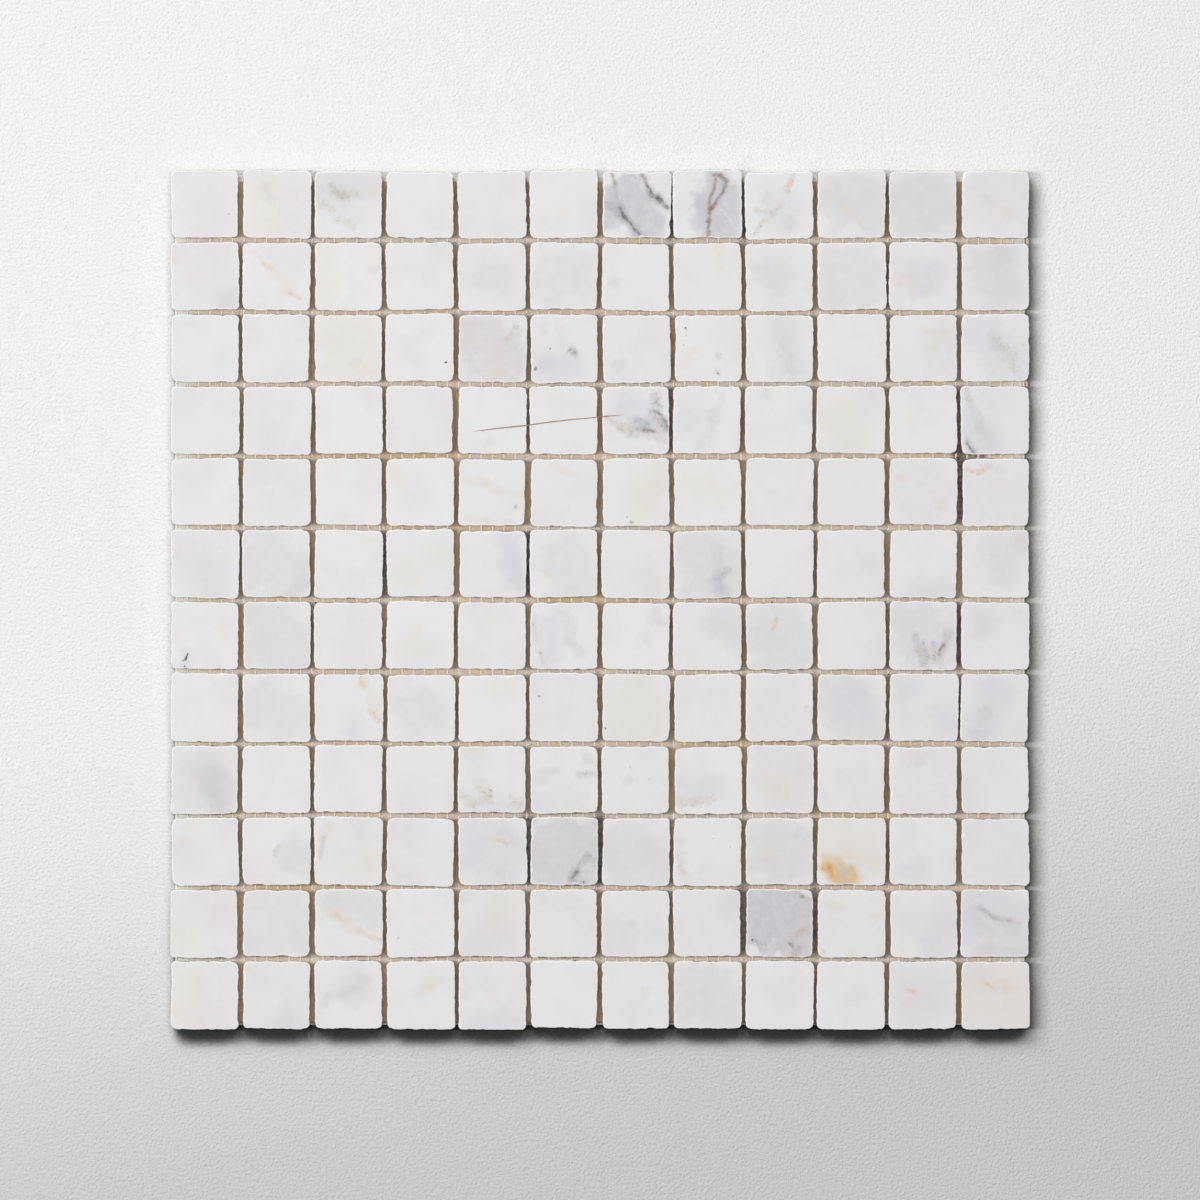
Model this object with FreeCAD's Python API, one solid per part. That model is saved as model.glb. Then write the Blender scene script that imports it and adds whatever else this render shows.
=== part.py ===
import FreeCAD, Part
import math
import os
import random
from FreeCAD import Vector

os.makedirs("parts", exist_ok=True)

# Sheet of square tumbled marble tiles, bonded face up to an open fibreglass mesh.
# Sizes are in millimetres. The origin is under the middle of the sheet, on the mesh's underside.
# Seen from above, +X is the sheet's right, +Y its top edge, and +Z points out of the tile faces.

# Tiles and the joints between them
stone_side = 23.4
joint_width = 2.0
tiles_per_row = 12
tile_rows = 12
stone_thickness = 9.5
corner_radius = 2.0  # upright corners, worn round by tumbling
corner_facets = 2  # flats that stand for each worn corner
arris_width = 0.6  # worn edge round the face

# How uneven sawing, tumbling and setting leave a tile, each as a share of the joint.
# Together they stay under half of it, so that neighbouring tiles keep apart.
side_share = 0.15  # one side, in or out
shift_share = 0.10  # the whole tile, along and across
turn_share = 0.10  # the whole tile turned, at the end of a side
skew_share = 0.08  # one side out of square, at its end

# How uneven the wear and the slab are, each as a share of its own size
corner_share = 0.25
arris_share = 0.25
thickness_share = 0.015

# Backing: two crossed layers of flat yarns, with a film of adhesive between them and the tiles
yarn_spacing = 4.0
yarn_width = 0.75
yarn_thickness = 0.25
film_thickness = 0.15
backing_setback = 1.0  # from the nominal outer edge of the tiles to the edge of the backing

tile_pitch = stone_side + joint_width
sheet_width = tiles_per_row * tile_pitch - joint_width
sheet_height = tile_rows * tile_pitch - joint_width
backing_width = sheet_width - 2 * backing_setback
backing_height = sheet_height - 2 * backing_setback

warp_base = yarn_thickness
film_base = 2 * yarn_thickness
tile_base = film_base + film_thickness


def evenly_spaced(count, pitch):
    """Centres of a row of like things, with the row centred on zero."""
    first = -(count - 1) * pitch / 2
    return [first + index * pitch for index in range(count)]


def corner_centre(angle_a, distance_a, angle_b, distance_b):
    """Where two lines cross, each given by the angle of its normal and its distance from zero."""
    turn = math.sin(angle_b - angle_a)
    x = (distance_a * math.sin(angle_b) - distance_b * math.sin(angle_a)) / turn
    y = (distance_b * math.cos(angle_a) - distance_a * math.cos(angle_b)) / turn
    return Vector(x, y, 0)


def tile_outline(chance):
    """Outline of one tile about its own middle: four nearly square sides and four worn corners."""
    end_of_side = stone_side / 2
    turn = chance.uniform(-turn_share, turn_share) * joint_width / end_of_side
    sides = []
    for quarter in range(4):
        skew = chance.uniform(-skew_share, skew_share) * joint_width / end_of_side
        distance = end_of_side + chance.uniform(-side_share, side_share) * joint_width
        sides.append((quarter * math.pi / 2 + turn + skew, distance))
    points = []
    for quarter in range(4):
        angle, distance = sides[quarter]
        next_angle, next_distance = sides[(quarter + 1) % 4]
        if next_angle < angle:
            next_angle += 2 * math.pi
        radius = corner_radius * chance.uniform(1 - corner_share, 1 + corner_share)
        centre = corner_centre(angle, distance - radius, next_angle, next_distance - radius)
        for step in range(corner_facets + 1):
            bearing = angle + (next_angle - angle) * step / corner_facets
            points.append(centre + Vector(math.cos(bearing), math.sin(bearing), 0) * radius)
    return Part.makePolygon(points + points[:1])


def tile(column, row, middle):
    """One tile: its outline raised to the slab's thickness, with the arris round its face worn off."""
    chance = random.Random(1000 * row + column)
    blank_height = stone_thickness * chance.uniform(1 - thickness_share, 1 + thickness_share)
    blank = Part.Face(tile_outline(chance)).extrude(Vector(0, 0, blank_height))
    face_edges = [edge for edge in blank.Edges if edge.BoundBox.ZMin > blank_height / 2]
    worn = arris_width * chance.uniform(1 - arris_share, 1 + arris_share)
    worn_tile = blank.makeChamfer(worn, face_edges)
    shift_x = chance.uniform(-shift_share, shift_share) * joint_width
    shift_y = chance.uniform(-shift_share, shift_share) * joint_width
    worn_tile.translate(middle + Vector(shift_x, shift_y, tile_base))
    return worn_tile


def tile_row(row, middle_y):
    """One row of tiles across the sheet, each tile a solid of its own."""
    middles = evenly_spaced(tiles_per_row, tile_pitch)
    return Part.Compound([tile(column, row, Vector(x, middle_y, 0)) for column, x in enumerate(middles)])


def yarn_centres(backing_size):
    """Centres of as many yarns, a pitch apart, as the backing has room for."""
    count = int((backing_size - yarn_width) / yarn_spacing) + 1
    return evenly_spaced(count, yarn_spacing)


def yarn_layer(size_x, size_y, places):
    """One layer of the mesh: like yarns of the given size, centred on each place."""
    yarns = []
    for place in places:
        corner = place - Vector(size_x / 2, size_y / 2, 0)
        yarns.append(Part.makeBox(size_x, size_y, yarn_thickness, corner))
    return Part.Compound(yarns)


def mesh_weft():
    """Lower yarns, across the sheet."""
    places = [Vector(0, y, 0) for y in yarn_centres(backing_height)]
    return yarn_layer(backing_width, yarn_width, places)


def mesh_warp():
    """Upper yarns, up the sheet, lying on the weft and under the film."""
    places = [Vector(x, 0, warp_base) for x in yarn_centres(backing_width)]
    return yarn_layer(yarn_width, backing_height, places)


def adhesive_film():
    """Film of adhesive that carries the tiles on the mesh and closes the bottom of the joints."""
    corner = Vector(-backing_width / 2, -backing_height / 2, film_base)
    return Part.makeBox(backing_width, backing_height, film_thickness, corner)


nodes = {
    "mesh_weft": mesh_weft(),
    "mesh_warp": mesh_warp(),
    "adhesive_film": adhesive_film(),
}
# Rows count from the top edge of the sheet down.
for row, middle_y in enumerate(reversed(evenly_spaced(tile_rows, tile_pitch)), start=1):
    nodes[f"tile_row_{row:02d}"] = tile_row(row, middle_y)

for name, shape in nodes.items():
    shape.exportStep(f"parts/{name}.step")
    print(f"{name}: {len(shape.Solids)} solids, {shape.Volume / 1000:.1f} cm3, valid {shape.isValid()}")
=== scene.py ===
import math
import random

import bmesh
import bpy
from mathutils import Matrix, Vector, noise


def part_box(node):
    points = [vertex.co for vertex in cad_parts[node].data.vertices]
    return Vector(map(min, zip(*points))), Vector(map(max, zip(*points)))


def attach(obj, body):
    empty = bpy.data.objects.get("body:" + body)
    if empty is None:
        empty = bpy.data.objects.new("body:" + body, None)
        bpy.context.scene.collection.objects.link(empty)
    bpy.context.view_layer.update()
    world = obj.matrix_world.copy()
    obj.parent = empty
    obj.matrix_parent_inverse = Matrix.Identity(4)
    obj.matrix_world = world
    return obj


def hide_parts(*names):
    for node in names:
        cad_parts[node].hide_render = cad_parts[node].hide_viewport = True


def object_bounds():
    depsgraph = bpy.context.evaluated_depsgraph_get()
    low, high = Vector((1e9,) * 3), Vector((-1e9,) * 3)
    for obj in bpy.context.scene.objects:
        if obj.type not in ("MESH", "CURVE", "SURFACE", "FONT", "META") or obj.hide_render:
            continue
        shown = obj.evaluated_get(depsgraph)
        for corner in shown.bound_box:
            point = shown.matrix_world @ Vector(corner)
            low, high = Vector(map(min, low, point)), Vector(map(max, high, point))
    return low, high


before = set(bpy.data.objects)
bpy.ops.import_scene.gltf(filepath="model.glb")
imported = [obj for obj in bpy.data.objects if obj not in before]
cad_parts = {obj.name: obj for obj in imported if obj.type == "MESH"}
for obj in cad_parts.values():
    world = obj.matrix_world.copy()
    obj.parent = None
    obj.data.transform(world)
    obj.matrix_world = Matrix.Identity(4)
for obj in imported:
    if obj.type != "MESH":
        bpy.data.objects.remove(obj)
cadLow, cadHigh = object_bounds()
print("frame loaded:", len(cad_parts), "nodes")

mm = 0.001  # lengths are in metres, so 3 * mm is three millimetres, unless their comment says mm
scene = bpy.context.scene

# The sheet's own layout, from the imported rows
rowNames = sorted(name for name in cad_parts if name.startswith("tile_row_"))
rowMiddles = [(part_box(name)[0].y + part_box(name)[1].y) / 2 for name in rowNames]
tilePitch = round((rowMiddles[0] - rowMiddles[-1]) / (len(rowNames) - 1), 4)
tilesPerRow = round((cadHigh.x - cadLow.x) / tilePitch)
firstTileX = -(tilesPerRow - 1) / 2 * tilePitch
firstTileY = (len(rowNames) - 1) / 2 * tilePitch
halfGrid = tilesPerRow / 2 * tilePitch  # from the sheet's middle to the middle of the joint round it
tileSide = 23.4 * mm
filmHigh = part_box("adhesive_film")[1]
warpLow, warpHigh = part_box("mesh_warp")
weftLow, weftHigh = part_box("mesh_weft")


def srgb(code):
    channels = [int(code[i:i + 2], 16) / 255 for i in (1, 3, 5)]
    return (*[c / 12.92 if c <= 0.04045 else ((c + 0.055) / 1.055) ** 2.4 for c in channels], 1.0)


def fillInputs(tree, node, values):
    # each value is a node, a socket or plain
    for key, value in values.items():
        if isinstance(value, bpy.types.Node):
            value = value.outputs[0]
        if isinstance(value, bpy.types.NodeSocket):
            tree.links.new(value, node.inputs[key])
        else:
            node.inputs[key].default_value = value


def addNode(tree, kind, *links, named=None, **settings):
    # links fill the inputs in their order, named fills them by name or number
    new = tree.nodes.new(kind)
    for name, value in settings.items():
        setattr(new, name, value)
    fillInputs(tree, new, {**dict(enumerate(links)), **(named or {})})
    return new


def newTree(name, kind, inputs, output, outputKind):
    # a node tree with the named inputs and one output; gives the tree and the inputs' sockets
    tree = bpy.data.node_groups.new(name, kind)
    for socketName, socketKind in inputs.items():
        tree.interface.new_socket(socketName, in_out="INPUT", socket_type=socketKind)
    tree.interface.new_socket(output, in_out="OUTPUT", socket_type=outputKind)
    return tree, tree.nodes.new("NodeGroupInput").outputs


def addObject(name, data):
    new = bpy.data.objects.new(name, data)
    scene.collection.objects.link(new)
    return new


def takeMesh(maker):
    # the plain mesh that an object comes to; the object itself goes
    graph = bpy.context.evaluated_depsgraph_get()
    mesh = bpy.data.meshes.new_from_object(maker.evaluated_get(graph), depsgraph=graph)
    bpy.data.objects.remove(maker)
    return mesh


def growPiece(name, startMesh, tree, values):
    # runs the tree on a mesh and keeps the result as a plain mesh
    maker = addObject(name + "Start", startMesh)
    modifier = maker.modifiers.new(tree.name, "NODES")
    modifier.node_group = tree
    for socket in tree.interface.items_tree:
        if socket.in_out == "INPUT" and socket.name in values:
            modifier[socket.identifier] = values[socket.name]
    mesh = takeMesh(maker)
    mesh.name = name
    return addObject(name, mesh)


def copyOfNode(name):
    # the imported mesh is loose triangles, so a copy of it is merged
    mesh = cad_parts[name].data.copy()
    joined = bmesh.new()
    joined.from_mesh(mesh)
    bmesh.ops.remove_doubles(joined, verts=joined.verts, dist=0.002 * mm)
    joined.to_mesh(mesh)
    joined.free()
    return mesh


# Camera: straight down, as in the photograph, from far enough that no tile's side shows
camera = {
    "frameWidth": 424.2 * mm,  # what the picture spans at the tile faces
    "lens": 600.0,
    "sensor": 36.0,
}
cameraData = bpy.data.cameras.new("camera")
cameraData.lens = camera["lens"]
cameraData.sensor_width = camera["sensor"]
cameraObject = addObject("camera", cameraData)
cameraDistance = camera["frameWidth"] * camera["lens"] / camera["sensor"]
cameraObject.location = (0, 0, cadHigh.z + cameraDistance)
cameraData.clip_end = 4 * cameraDistance
scene.camera = cameraObject
scene.view_settings.view_transform = "Standard"

# Light: a long soft box from overhead to the left, in line with the joints that run across, so that it reaches
# down them, and a soft key from the sheet's top, which gives the shadow along the bottom
lights = {
    "ambient": 0.03,
    "long": {"power": 90, "place": (-0.80, 0.05, 3.82), "along": 3.3, "across": 0.22},
    "key": {"power": 48.5, "place": (-0.91, 1.6, 2.65), "along": 1.7, "across": 1.3},
}


def addAreaLight(name, place, power, along, across):
    # faces the sheet, with its long side square to the sheet's own up and down
    data = bpy.data.lights.new(name, "AREA")
    data.shape = "RECTANGLE"
    data.size, data.size_y = along, across
    data.energy = power
    light = addObject(name, data)
    away = Vector(place).normalized()
    sideways = Vector((0, 1, 0)).cross(away).normalized()
    upwards = away.cross(sideways)
    light.matrix_world = Matrix((sideways, upwards, away)).transposed().to_4x4()
    light.location = place


addAreaLight("longBox", **lights["long"])
addAreaLight("keyBox", **lights["key"])
world = bpy.data.worlds.new("studio")
world.use_nodes = True
fillInputs(world.node_tree, world.node_tree.nodes["Background"], {
    "Color": (1, 1, 1, 1), "Strength": lights["ambient"]})
scene.world = world
print("camera and lights placed")


def newMaterial(name):
    # gives the material, its tree and shader, and the piece's own coordinates, which every pattern reads
    material = bpy.data.materials.new(name)
    material.use_nodes = True
    tree = material.node_tree
    objectPlace = addNode(tree, "ShaderNodeTexCoord").outputs["Object"]
    return material, tree, tree.nodes["Principled BSDF"], objectPlace


# Floor: a board with a coat of matt emulsion, rolled on. The eye gets an even, pale surface with a fine orange peel.
# Its colour carries painted shade: greyer towards the viewer and the right, a painted shadow close under the sheet's
# bottom and right edges, and a painted darkening near the sheet against the light that its white walls throw.
floorLook = {
    "far": "#FEFEFD",
    # painted shade: the grey that the floor turns to towards the viewer and the right
    "nearShade": "#DBDBDA",
    "nearFrom": 0.02,  # metres up the sheet, where it starts to turn
    "nearTo": -0.21,
    "peel": 1.1,  # mm
    "peelDepth": 0.8 * mm,
    "tilt": -0.22,  # how far that turn leans across the sheet
    "roughness": 0.9,
    "shade": 0.94,  # painted shadow, close at the sheet's foot, below it and to its right
    "shadeReach": 8.5 * mm,
    "shadeFacing": (-0.18, 0.98, 0.0),  # towards what has to stand in the way for it
    "shadeOpen": 0.86,  # how open the floor is that way where the close shadow begins
    "shadeShut": 0.59,  # and where it is full
    "paintedCalmShade": 0.3,  # painted shade: takes back some of the light that the white walls throw on the floor
    "calmReach": 30 * mm,
    "shadeSamples": 16,  # many, because the close shadow's steep range would turn their noise into spots
    "calmSamples": 2,
    "size": 8.0,
}
floorMaterial, tree, shader, objectPlace = newMaterial("rolledEmulsion")
part = addNode(tree, "ShaderNodeSeparateXYZ", objectPlace)
slope = addNode(tree, "ShaderNodeMath", part.outputs[0], floorLook["tilt"], part.outputs[1],
                operation="MULTIPLY_ADD")
# painted shade: the floor's colour greys towards the viewer and the right
nearShade = addNode(tree, "ShaderNodeMapRange", slope, floorLook["nearFrom"], floorLook["nearTo"], 0.0, 1.0,
               interpolation_type="SMOOTHSTEP")
paintWithShadeFalloff = addNode(tree, "ShaderNodeMix", nearShade, named={6: srgb(floorLook["far"]), 7: srgb(floorLook["nearShade"])},
                data_type="RGBA")
# painted shadow: the floor's colour goes dark where the sheet stands in the way, below it and to its right
facing = addNode(tree, "ShaderNodeCombineXYZ", *floorLook["shadeFacing"])
openness = addNode(tree, "ShaderNodeAmbientOcclusion", samples=floorLook["shadeSamples"], named={
    "Distance": floorLook["shadeReach"], "Normal": facing})
shade = addNode(tree, "ShaderNodeMapRange", openness.outputs["AO"], floorLook["shadeOpen"], floorLook["shadeShut"],
                0.0, floorLook["shade"], interpolation_type="SMOOTHSTEP")
shaded = addNode(tree, "ShaderNodeMix", shade, named={6: paintWithShadeFalloff.outputs[2], 7: srgb("#000000")},
                 data_type="RGBA")
# painted shade: the floor's colour darkens near the sheet, against the light that its white walls throw there
nearby = addNode(tree, "ShaderNodeAmbientOcclusion", samples=floorLook["calmSamples"], named={
    "Distance": floorLook["calmReach"]})
paintedCalmShade = addNode(tree, "ShaderNodeMapRange", nearby.outputs["AO"], 1.0, 0.0, 1.0, 1.0 - floorLook["paintedCalmShade"])
shaded = addNode(tree, "ShaderNodeVectorMath", shaded.outputs[2], named={"Scale": paintedCalmShade}, operation="SCALE")
peel = addNode(tree, "ShaderNodeTexNoise", named={
    "Vector": objectPlace, "Scale": 1 / (floorLook["peel"] * mm), "Detail": 3.0, "Roughness": 0.6})
bump = addNode(tree, "ShaderNodeBump", named={
    "Strength": 1.0, "Distance": floorLook["peelDepth"], "Height": peel})
fillInputs(tree, shader, {"Base Color": shaded, "Roughness": floorLook["roughness"], "Normal": bump})
half = floorLook["size"] / 2
floorMesh = bpy.data.meshes.new("floor")
floorMesh.from_pydata([(-half, -half, 0), (half, -half, 0), (half, half, 0), (-half, half, 0)], [], [(0, 1, 2, 3)])
floorMesh.materials.append(floorMaterial)
floor = addObject("floor", floorMesh)

# Tiles: each is raised from the outline of its CAD tile, with its edges worn as tumbling leaves them. These are
# inputs of the node tree, by their names there.
tileWear = {
    "Points Round": 200,
    "Side Steps": 8,
    "Arris": 0.34 * mm,  # radius of the worn edge round the face
    "Foot Arris": 0.3 * mm,
    "Outwards": 0.44 * mm,  # from the CAD side to the outermost points of the worn one
    "Scallop": 0.42 * mm,  # depth of the hollows that knocks leave, some millimetres long
    "Nibble": 0.24 * mm,  # the same for hollows of about a millimetre
    "Foot Back": 0.16 * mm,  # how far the side stands back at the foot
    "Chip": 0.45 * mm,  # how much wider the arris is where it is broken
    "Rough": 0.09 * mm,
    "Corner Softening": 2,  # passes that turn the CAD corner's flats into a curve
    "Corner Fill": 0.26 * mm,  # how far that curve stands out from the flats
    "Seed": 3.0,
}
# The noise behind each kind of wear. "Scale" is features a millimetre.
wearNoise = {
    "chip": {"Scale": 0.33, "Detail": 2.0},
    "arris": {"Scale": 0.2, "Detail": 2.0},
    "scallop": {"Scale": 0.2, "Detail": 1.0},
    "nibble": {"Scale": 0.75, "Detail": 2.0},
    "rough": {"Scale": 1.1, "Detail": 2.0},
}
# Spans of those noises and of the place on the tile, and what they come to
wearSpans = {
    "chipped": (0.60, 0.72, 0.0, 1.0),  # smoothly from no chip to a whole one
    "arris": (0.3, 0.7, 0.6, 1.25),  # share of the arris's own radius
    "hollow": (0.0, 0.25, 0.0, 1.0),  # by how far the noise is from its middle
    "rough": (0.3, 0.7),
    "corner": (0.78, 0.96),  # share of half a side where the corner begins, and where it is whole
    "wornUp": (0.25, 0.5, 0.0, 1.0),  # by the steps up the side
    "wornAcross": (0.5, 1.0, 0.0, 1.0),  # by the rings of the face
}


def buildTileTree():
    wearKinds = {name: "NodeSocketInt" if isinstance(value, int) else "NodeSocketFloat"
                 for name, value in tileWear.items()}
    tree, given = newTree("tumbledTiles", "GeometryNodeTree", {
        "Geometry": "NodeSocketGeometry",
        "Tiles": "NodeSocketInt",
        "Tiles Each": "NodeSocketInt",
        "First Middle": "NodeSocketVector",
        "Step": "NodeSocketVector",
        "Low Corner": "NodeSocketVector",
        "High Corner": "NodeSocketVector",
        **wearKinds,
        "Left Material": "NodeSocketMaterial",
        "Middle Material": "NodeSocketMaterial",
        "Right Material": "NodeSocketMaterial",
    }, "Geometry", "NodeSocketGeometry")
    quarterTurn = math.pi / 2
    footEnds, faceBegins = 1 / 8, 3 / 8  # of the steps up the side
    innerRing = 0.975  # of the way from the face's middle to its edge
    farOff = 1.0  # metres, longer than any ray has to go

    count = given["Points Round"]
    place = addNode(tree, "GeometryNodeInputPosition")
    index = addNode(tree, "GeometryNodeInputIndex")
    line = addNode(tree, "GeometryNodeMeshLine", named={
        "Count": given["Tiles"], "Start Location": given["First Middle"], "Offset": given["Step"]})

    def standOnTiles(pattern):
        # a copy at each tile's middle, where every point keeps its place in the pattern, that middle and the tile
        pattern = addNode(tree, "GeometryNodeStoreNamedAttribute", pattern, named={"Name": "shape", "Value": place},
                          data_type="FLOAT_VECTOR", domain="POINT")
        copies = addNode(tree, "GeometryNodeInstanceOnPoints", line, named={"Instance": pattern})
        for name, value, valueKind in (("middle", place, "FLOAT_VECTOR"), ("tile", index, "INT")):
            copies = addNode(tree, "GeometryNodeStoreNamedAttribute", copies, named={"Name": name, "Value": value},
                             data_type=valueKind, domain="INSTANCE")
        return addNode(tree, "GeometryNodeRealizeInstances", copies)

    # one ring of points for each tile, thrown out against the sides of its CAD tile
    rings = standOnTiles(addNode(tree, "GeometryNodeMeshCircle", count, 1.0))
    shape = addNode(tree, "GeometryNodeInputNamedAttribute", "shape", data_type="FLOAT_VECTOR")
    middle = addNode(tree, "GeometryNodeInputNamedAttribute", "middle", data_type="FLOAT_VECTOR")
    part = addNode(tree, "ShaderNodeSeparateXYZ", shape)
    angle = addNode(tree, "ShaderNodeMath", part.outputs[1], part.outputs[0], operation="ARCTAN2")
    # 4 keeps the turns above zero, and the half more puts each side in one quarter
    turns = addNode(tree, "ShaderNodeMath", angle, quarterTurn, operation="DIVIDE")
    turns = addNode(tree, "ShaderNodeMath", turns, 4.5, operation="ADD")
    quarter = addNode(tree, "ShaderNodeMath", turns, operation="FLOOR")
    along = addNode(tree, "ShaderNodeMath", turns, operation="FRACT")
    along = addNode(tree, "ShaderNodeMath", along, 2.0, -1.0, operation="MULTIPLY_ADD")
    outwards = addNode(tree, "ShaderNodeCombineXYZ", 1.0, along, 0.0)
    spin = addNode(tree, "ShaderNodeMath", quarter, quarterTurn, operation="MULTIPLY")
    outwards = addNode(tree, "ShaderNodeVectorRotate", named={"Vector": outwards, "Angle": spin},
                       rotation_type="Z_AXIS")
    hit = addNode(tree, "GeometryNodeRaycast", given["Geometry"], named={
        "Source Position": middle, "Ray Direction": outwards, "Ray Length": farOff})
    rings = addNode(tree, "GeometryNodeSetPosition", rings, named={"Position": hit.outputs["Hit Position"]})
    softer = addNode(tree, "GeometryNodeBlurAttribute", named={
        "Value": place, "Iterations": given["Corner Softening"]}, data_type="FLOAT_VECTOR")
    rings = addNode(tree, "GeometryNodeSetPosition", rings, named={"Position": softer})

    # which way is inwards at each point of the ring: square to its two neighbours
    first = addNode(tree, "ShaderNodeMath", index, count, operation="DIVIDE")
    first = addNode(tree, "ShaderNodeMath", first, operation="FLOOR")
    first = addNode(tree, "ShaderNodeMath", first, count, operation="MULTIPLY")
    ends = []
    for step in (1, -1):
        other = addNode(tree, "ShaderNodeMath", index, float(step), operation="ADD")
        other = addNode(tree, "ShaderNodeMath", other, first, operation="SUBTRACT")
        other = addNode(tree, "ShaderNodeMath", other, count, operation="FLOORED_MODULO")
        other = addNode(tree, "ShaderNodeMath", other, first, operation="ADD")
        ends.append(addNode(tree, "GeometryNodeSampleIndex", rings, place, other, data_type="FLOAT_VECTOR"))
    tangent = addNode(tree, "ShaderNodeVectorMath", *ends, operation="SUBTRACT")
    inwards = addNode(tree, "ShaderNodeVectorRotate", named={"Vector": tangent, "Angle": quarterTurn},
                      rotation_type="Z_AXIS")
    inwards = addNode(tree, "ShaderNodeVectorMath", inwards, operation="NORMALIZE")
    rings = addNode(tree, "GeometryNodeStoreNamedAttribute", rings, named={"Name": "inwards", "Value": inwards},
                    data_type="FLOAT_VECTOR", domain="POINT")

    # the bodies: closed cylinders whose points take the ring's outline, a step at a time
    cylinder = addNode(tree, "GeometryNodeMeshCylinder", named={
        "Vertices": count, "Side Segments": given["Side Steps"], "Fill Segments": 2, "Radius": 1.0, "Depth": 1.0},
        fill_type="TRIANGLE_FAN")
    bodies = standOnTiles(cylinder)
    tileIndex = addNode(tree, "GeometryNodeInputNamedAttribute", "tile", data_type="INT")
    around = addNode(tree, "ShaderNodeMath", angle, 2 * math.pi, operation="DIVIDE")
    around = addNode(tree, "ShaderNodeMath", around, count, operation="MULTIPLY")
    around = addNode(tree, "ShaderNodeMath", around, operation="ROUND")
    around = addNode(tree, "ShaderNodeMath", around, count, operation="FLOORED_MODULO")
    ringIndex = addNode(tree, "ShaderNodeMath", tileIndex, count, around, operation="MULTIPLY_ADD")
    sidePoint = addNode(tree, "GeometryNodeSampleIndex", rings, place, ringIndex, data_type="FLOAT_VECTOR")
    ringInwards = addNode(tree, "GeometryNodeInputNamedAttribute", "inwards", data_type="FLOAT_VECTOR")
    sideInwards = addNode(tree, "GeometryNodeSampleIndex", rings, ringInwards, ringIndex, data_type="FLOAT_VECTOR")

    # heights of the CAD tile's back and face
    levels = []
    for side in (1, -1):
        outside = addNode(tree, "ShaderNodeVectorMath", middle, (0, 0, farOff / 10 * side), operation="ADD")
        met = addNode(tree, "GeometryNodeRaycast", given["Geometry"], named={
            "Source Position": outside, "Ray Direction": (0, 0, -side), "Ray Length": farOff})
        levels.append(addNode(tree, "ShaderNodeSeparateXYZ", met.outputs["Hit Position"]).outputs[2])
    faceZ, backZ = levels

    # how tumbling wears the edges, from noises that differ with the place round the tile and down its side
    rise = addNode(tree, "ShaderNodeMath", part.outputs[2], 0.5, operation="ADD")
    wallShare = addNode(tree, "ShaderNodeMapRange", rise, footEnds, faceBegins, 0.0, 1.0)
    lowerShare = addNode(tree, "ShaderNodeMath", 1.0, wallShare, operation="SUBTRACT")
    lower = addNode(tree, "ShaderNodeMath", lowerShare, 2.0, given["Seed"], operation="MULTIPLY_ADD")
    sideMm = addNode(tree, "ShaderNodeVectorMath", sidePoint, named={"Scale": 1 / mm}, operation="SCALE")
    downs = {"chip": given["Seed"], "arris": given["Seed"], "scallop": lower, "nibble": lower, "rough": rise}
    noises = {}
    for name, settings in wearNoise.items():
        noises[name] = addNode(tree, "ShaderNodeTexNoise", noise_dimensions="4D", named={
            "Vector": sideMm, "W": downs[name], **settings})

    # the arris, wider where a chip is broken out
    chipped = addNode(tree, "ShaderNodeMapRange", noises["chip"], *wearSpans["chipped"],
                      interpolation_type="SMOOTHSTEP")
    chipIn = addNode(tree, "ShaderNodeMath", chipped, given["Chip"], operation="MULTIPLY")
    arrisShare = addNode(tree, "ShaderNodeMapRange", noises["arris"], *wearSpans["arris"])
    arris = addNode(tree, "ShaderNodeMath", given["Arris"], arrisShare, operation="MULTIPLY")
    arris = addNode(tree, "ShaderNodeMath", arris, chipIn, operation="ADD")

    # section of the side: foot arris, wall, then a quarter round up to the face
    footTurn = addNode(tree, "ShaderNodeMapRange", rise, 0.0, footEnds, 0.0, quarterTurn)
    faceTurn = addNode(tree, "ShaderNodeMapRange", rise, faceBegins, 1.0, 0.0, quarterTurn)
    footSine = addNode(tree, "ShaderNodeMath", footTurn, operation="SINE")
    footCosine = addNode(tree, "ShaderNodeMath", footTurn, operation="COSINE")
    faceSine = addNode(tree, "ShaderNodeMath", faceTurn, operation="SINE")
    faceCosine = addNode(tree, "ShaderNodeMath", faceTurn, operation="COSINE")
    footShort = addNode(tree, "ShaderNodeMath", 1.0, footSine, operation="SUBTRACT")
    faceShort = addNode(tree, "ShaderNodeMath", 1.0, faceCosine, operation="SUBTRACT")
    footInset = addNode(tree, "ShaderNodeMath", footShort, given["Foot Arris"], operation="MULTIPLY")
    inset = addNode(tree, "ShaderNodeMath", faceShort, arris, footInset, operation="MULTIPLY_ADD")
    footRise = addNode(tree, "ShaderNodeMath", 1.0, footCosine, operation="SUBTRACT")
    footRise = addNode(tree, "ShaderNodeMath", footRise, given["Foot Arris"], operation="MULTIPLY")
    wallHeight = addNode(tree, "ShaderNodeMath", faceZ, backZ, operation="SUBTRACT")
    wallHeight = addNode(tree, "ShaderNodeMath", wallHeight, given["Foot Arris"], operation="SUBTRACT")
    wallHeight = addNode(tree, "ShaderNodeMath", wallHeight, arris, operation="SUBTRACT")
    height = addNode(tree, "ShaderNodeMath", wallShare, wallHeight, footRise, operation="MULTIPLY_ADD")
    height = addNode(tree, "ShaderNodeMath", faceSine, arris, height, operation="MULTIPLY_ADD")
    height = addNode(tree, "ShaderNodeMath", height, backZ, operation="ADD")

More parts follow.
